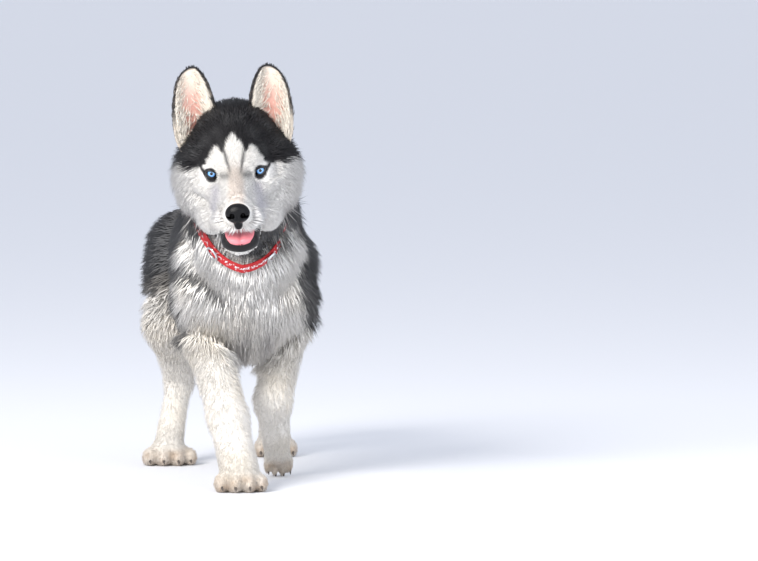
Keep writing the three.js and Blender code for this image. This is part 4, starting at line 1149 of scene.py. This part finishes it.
# Trims the tufts above the strap where it shows, and raises those that cover it elsewhere.
def aroundStrap(at, lies, lengths, rises):
    fromMiddle = at - collarCentre
    above = -fromMiddle @ collarSquare
    turned = np.arctan2(fromMiddle @ collarLeft, fromMiddle @ collarDown) + wander(at, 6, 4.0) * 0.06
    pace = np.maximum(unit(lies) @ collarSquare, 0.45)
    reach = (above - 2) / pace
    bare = (turned > strap["bareFrom"]) & (turned < strap["bareTo"])
    blocked = bare & (above > -7) & (reach < lengths) & (draw.random(len(at)) < 0.97)
    lengths = np.where(blocked, np.clip(reach, 3, 60), lengths)
    rises = np.where(blocked & (above < 12), rises * 0.55, rises)
    covering = ~bare & (above > -12) & (above < 34)
    lengths = np.where(covering, lengths * 1.15, lengths)
    rises = np.where(covering, rises * 1.2 + 7, rises)
    return lengths, rises


thick = {"bent": 8300, "straight": 25000}  # how many tufts of each kind
coats = {
    "coatHeadUpper": {"mask": isHead & (toHead(middles)[2] > -6), **thick, "region": "head",
                      "slot": "face_coat", "unwrap": unwrapHead, "weight": headWeight},
    "coatHeadLower": {"mask": isHead & (toHead(middles)[2] <= -6), **thick, "region": "head",
                      "slot": "face_coat", "unwrap": unwrapHead, "weight": headWeight},
    "coatNeck": {"mask": isNeck, **thick, "region": "neck",
                 "slot": "ruff", "unwrap": unwrapNeck, "weight": plain},
    "coatChest": {"mask": isTrunk & isFront, **thick, "region": "trunk",
                  "slot": "ruff", "unwrap": unwrapTrunk, "weight": plain},
    "coatBack": {"mask": isTrunk & ~isFront, **thick, "region": "trunk",
                 "slot": "dark_coat", "unwrap": unwrapTrunk, "weight": plain},
    "coatForelegs": {"mask": isLeg & isFront, **thick, "region": "legs",
                     "slot": "pale_coat", "unwrap": unwrapLegs, "weight": pawWeight},
    "coatHindlegs": {"mask": isLeg & ~isFront, **thick, "region": "legs",
                     "slot": "pale_coat", "unwrap": unwrapLegs, "weight": pawWeight},
    "coatTail": {"mask": isTail, "bent": 5000, "straight": 12000, "region": "tail",
                 "slot": "dark_coat", "unwrap": unwrapTail, "weight": plain},
}
timesDepth = {"head": 2.3, "neck": 2.6, "trunk": 2.5, "legs": 2.4, "tail": 2.7}  # a tuft's length
rising = {"head": 1.0, "neck": 0.8, "trunk": 0.62, "legs": 1.0, "tail": 1.0}  # how far a tuft stands off the skin
for name, coat in coats.items():
    at, normals = roots(coat["mask"], coat["bent"] + coat["straight"], coat["weight"])
    keep = mouthHollow(at) > 2.6
    keep &= jawField(at) > -1
    keep &= noseBody(at) > 0.6
    for s in (-1, 1):
        inFront = (at - eyeCentres[s]) @ headAxes[1] > -4
        keep &= ~((almond(at, s) < 3.8) & (np.linalg.norm(at - eyeCentres[s], axis=1) < 16) & inFront)
    at, normals = at[keep], normals[keep]
    depth = coatDepth(at) if coat["region"] != "tail" else np.full(len(at), fullDepth)
    lengths = np.clip(depth * timesDepth[coat["region"]], 3.0, 44) * draw.uniform(0.78, 1.15, len(at))
    rises = depth * draw.uniform(0.66, 0.96, len(at))
    widths = np.clip(lengths * 0.088, 0.62, 2.2) * draw.uniform(0.7, 1.25, len(at))
    lies = lieOf(at, coat["region"])
    if coat["region"] == "head":
        side, forward, _ = toHead(at)
        fluffy = smooth(34, 52, np.abs(side)) * smooth(0, -25, forward)
        lengths = lengths * (1 + 1.0 * fluffy) * smooth(-4, 10, mouthHollow(at)) ** 0.5
        rises = rises * (1 + 0.8 * fluffy) + 5 * smooth(22, 50, toHead(at)[2]) * smooth(-20, -40, forward)
    if coat["region"] == "neck":
        lengths, rises = aroundStrap(at, lies, lengths, rises)
    rises = rises * rising[coat["region"]]
    flatLies = unit(lies - normals * (lies * normals).sum(1)[:, None])
    shown = 0.3 if coat["region"] == "head" else 0.62
    colours = markings(at + flatLies * (lengths * shown)[:, None] + normals * (rises * 0.7)[:, None])
    if coat["region"] == "tail":
        colours = markings(at + normals * 14)
    bright = colours.mean(1)
    tipShade = np.where((bright > 0.12) & (bright < 0.4), draw.choice((0.35, 1.3), len(at)), 1.08)
    bent = coat["bent"]
    piece = addTufts(name, coat["slot"], at, normals, lies, lengths, widths, rises, colours, tipShade,
                     coat["unwrap"](at), bent)
    print(name, len(piece.data.polygons), flush=True)

# Fur of the ears: short and dark behind, long and pale from the inner edges.
earRoots = {"behind": 2600, "within": 2300, "rim": 900}
parts = []
for s in (-1, 1):
    for kind, count in earRoots.items():
        count = count
        t = draw.beta(1.0, 1.25, count)
        across = draw.random(count)
        if kind == "within":
            across = np.where(draw.random(count) < 0.6, draw.beta(1, 9, count), 1 - draw.beta(1, 9, count))
            across = across * 0.92 + 0.04
            t = draw.beta(1.0, 1.5, count) * 0.88
        if kind == "rim":
            across = np.where(draw.random(count) < 0.5, draw.uniform(0, 0.05, count), draw.uniform(0.95, 1, count))
        e = 0.01
        at = earSurface(s, t, across) - headAxes[1] * 1.0
        up = unit(earSurface(s, t + e, across) - earSurface(s, t - e, across))
        sideways = unit(earSurface(s, t, across + e) - earSurface(s, t, across - e))
        normal = unit(np.cross(up, sideways))
        normal = np.where(((normal @ headAxes[1]) < 0)[:, None], -normal, normal)
        if kind == "behind":
            at = at - headAxes[1] * ear["thick"]
            normal = -normal
            lengths = draw.uniform(6, 10, count) * np.interp(t, (0.75, 0.95), (1, 0.3))
            rises = draw.uniform(1.2, 2.4, count)
            colours = np.tile(black * 1.4, (count, 1))
            lies = up
        elif kind == "within":
            lengths = np.interp(t, (0, 1), (15, 6)) * draw.uniform(0.7, 1.2, count)
            rises = lengths * 0.3
            colours = mix(np.tile(np.array((0.84, 0.78, 0.69)), (count, 1)), paleGrey, draw.random(count) * 0.3)
            lies = up + np.where((across < 0.5)[:, None], sideways, -sideways) * 0.35
        else:
            lengths, rises = draw.uniform(5, 8, count), draw.uniform(0.8, 2, count)
            outerLow = smooth(0.55, 0.3, t) * (across > 0.5)
            colours = mix(np.tile(black * 1.5, (count, 1)), np.array((0.7, 0.65, 0.58)), outerLow)
            lengths = lengths * np.interp(t, (0.75, 0.95), (1, 0.45))
            lies = up
        uv = np.stack(((across * 0.45 + 0.02 + (s > 0) * 0.5), t * 0.96 + 0.02), 1)
        widths = np.clip(lengths * 0.11, 0.8, 1.3)
        parts.append((at, normal, lies, lengths, widths, rises, colours, np.full(count, 1.0), uv))
merged = [np.concatenate(group) for group in zip(*parts)]
order = draw.permutation(len(merged[0]))
addTufts("coatEars", "ear", *(group[order] for group in merged), len(order) * 2 // 5)

# Fur of the lower jaw, below its lips.
jawTriangles = np.concatenate((jawFaces[:, [0, 1, 2]], jawFaces[:, [0, 2, 3]]))
jawCorner = jawPoints[jawTriangles]
jawCross = np.cross(jawCorner[:, 1] - jawCorner[:, 0], jawCorner[:, 2] - jawCorner[:, 0])
jawMiddles = jawCorner.mean(1)
furred = (lipOf(jawMiddles) < 0.1) & (coatField(jawMiddles) > 0)
chosen = np.nonzero(furred)[0]
share = np.linalg.norm(jawCross[chosen], axis=1)
chin = {"tufts": 3600, "back": 9, "front": 5}  # how many, and how long at the back and at the front
picked = draw.choice(chosen, chin["tufts"], p=share / share.sum())
at = jawMiddles[picked] + draw.normal(0, 0.5, (len(picked), 3))
normals = unit(jawCross[picked])
count = len(at)
jawSide, jawForward, _ = toJaw(at)
lengths = np.interp(jawForward, (-20, 50), (chin["back"], chin["front"])) * draw.uniform(0.8, 1.2, count)
uv = np.stack((np.clip((jawSide + 30) / 60, 0, 1), np.clip((jawForward + 30) / 100, 0, 1)), 1)
lies = np.tile(-jawAxes[1] - jawAxes[2] * 0.3, (count, 1))
# Painted shade: the chin's fur turns greyer towards the back, under the jaw.
colours = mix(np.tile(white, (count, 1)), paleGrey, smooth(10, -15, jawForward) * 0.6)
addTufts("coatChin", "face_coat", at, normals, lies, lengths, lengths * 0.15, lengths * 0.32, colours,
         np.full(count, 1.05), uv)

# Whiskers: long thin bristles from the pads of the lips.
whisker = {"each": 11, "short": 26, "long": 42, "radius": 0.24, "droop": 7}
points, faces = [], []
for s in (-1, 1):
    for i in range(whisker["each"]):
        start = head(s * (21 + 2.5 * (i % 3)), 26 + 4.6 * (i // 3), -36 - 4.2 * (i % 3))
        out = unit(headWay(s, 0.1 - 0.16 * (i // 3), -0.1 - 0.25 * (i % 3)))
        reach = draw.uniform(whisker["short"], whisker["long"])
        droop = headWay(0, 0, -1)
        rows = []
        for t in np.linspace(0, 1, 7):
            centre = start + out * reach * t + droop * whisker["droop"] * t * t
            radius = whisker["radius"] * (1 - t) + 0.03
            rows.append([centre + radius * (math.cos(a) * headAxes[1] + math.sin(a) * headAxes[2])
                         for a in (0, 2.1, 4.2)])
        rowPoints, rowFaces = loft(rows)
        faces.append(rowFaces + sum(len(q) for q in points))
        points.append(rowPoints)
whiskerLook, _, _ = newMaterial("whisker", (0.75, 0.74, 0.72), 0.4)
addPiece("whiskers", np.concatenate(points), np.concatenate(faces), whiskerLook, "face_coat")
print("ears, chin and whiskers", flush=True)

# Floor, light and camera.
floorMesh = bpy.data.meshes.new("floor")
floorHalf = 95
floorCorners = [(x * floorHalf, y * floorHalf, 0) for x, y in ((-1, -1), (1, -1), (1, 1), (-1, 1))]
floorMesh.from_pydata(floorCorners, [], [(0, 1, 2, 3)])
floor = bpy.data.objects.new("floor", floorMesh)
bpy.context.scene.collection.objects.link(floor)
floorLook, _, _ = newMaterial("paleFloor", (0.86, 0.87, 0.9), 0.8)
floor.data.materials.append(floorLook)

world = bpy.data.worlds.new("studio")
bpy.context.scene.world = world
world.use_nodes = True
world.node_tree.nodes["Background"].inputs["Color"].default_value = (0.86, 0.9, 1, 1)
world.node_tree.nodes["Background"].inputs["Strength"].default_value = 0.88
bpy.context.scene.view_settings.view_transform = "Standard"


def areaLight(name, place, target, size, energy, colour):
    data = bpy.data.lights.new(name, "AREA")
    data.size = size
    data.energy = energy
    data.color = colour
    light = bpy.data.objects.new(name, data)
    bpy.context.scene.collection.objects.link(light)
    light.location = place
    way = unit(np.array(target) - np.array(place))
    light.rotation_euler = (math.acos(-way[2]), 0, math.atan2(way[1], way[0]) - math.pi / 2)


areaLight("key", (-1.9, -3.2, 2.3), (0, 0, 0.3), 1.6, 192, (1, 0.96, 0.90))
areaLight("fill", (2.2, -3.0, 1.4), (0, 0, 0.3), 2.6, 34, (0.9, 0.95, 1))

view = {"focal": 5600, "picture": 758, "sensor": 36, "place": (176, -7000, 670), "down": 3.383}  # pixels, mm, degrees
camera = bpy.data.cameras.new("camera")
camera.lens = view["focal"] / view["picture"] * view["sensor"]
camera.sensor_width = view["sensor"]
viewer = bpy.data.objects.new("camera", camera)
bpy.context.scene.collection.objects.link(viewer)
viewer.location = toRow(view["place"])
viewer.rotation_euler = (math.radians(90 - view["down"]), 0, 0)
bpy.context.scene.camera = viewer

print("stage", flush=True)
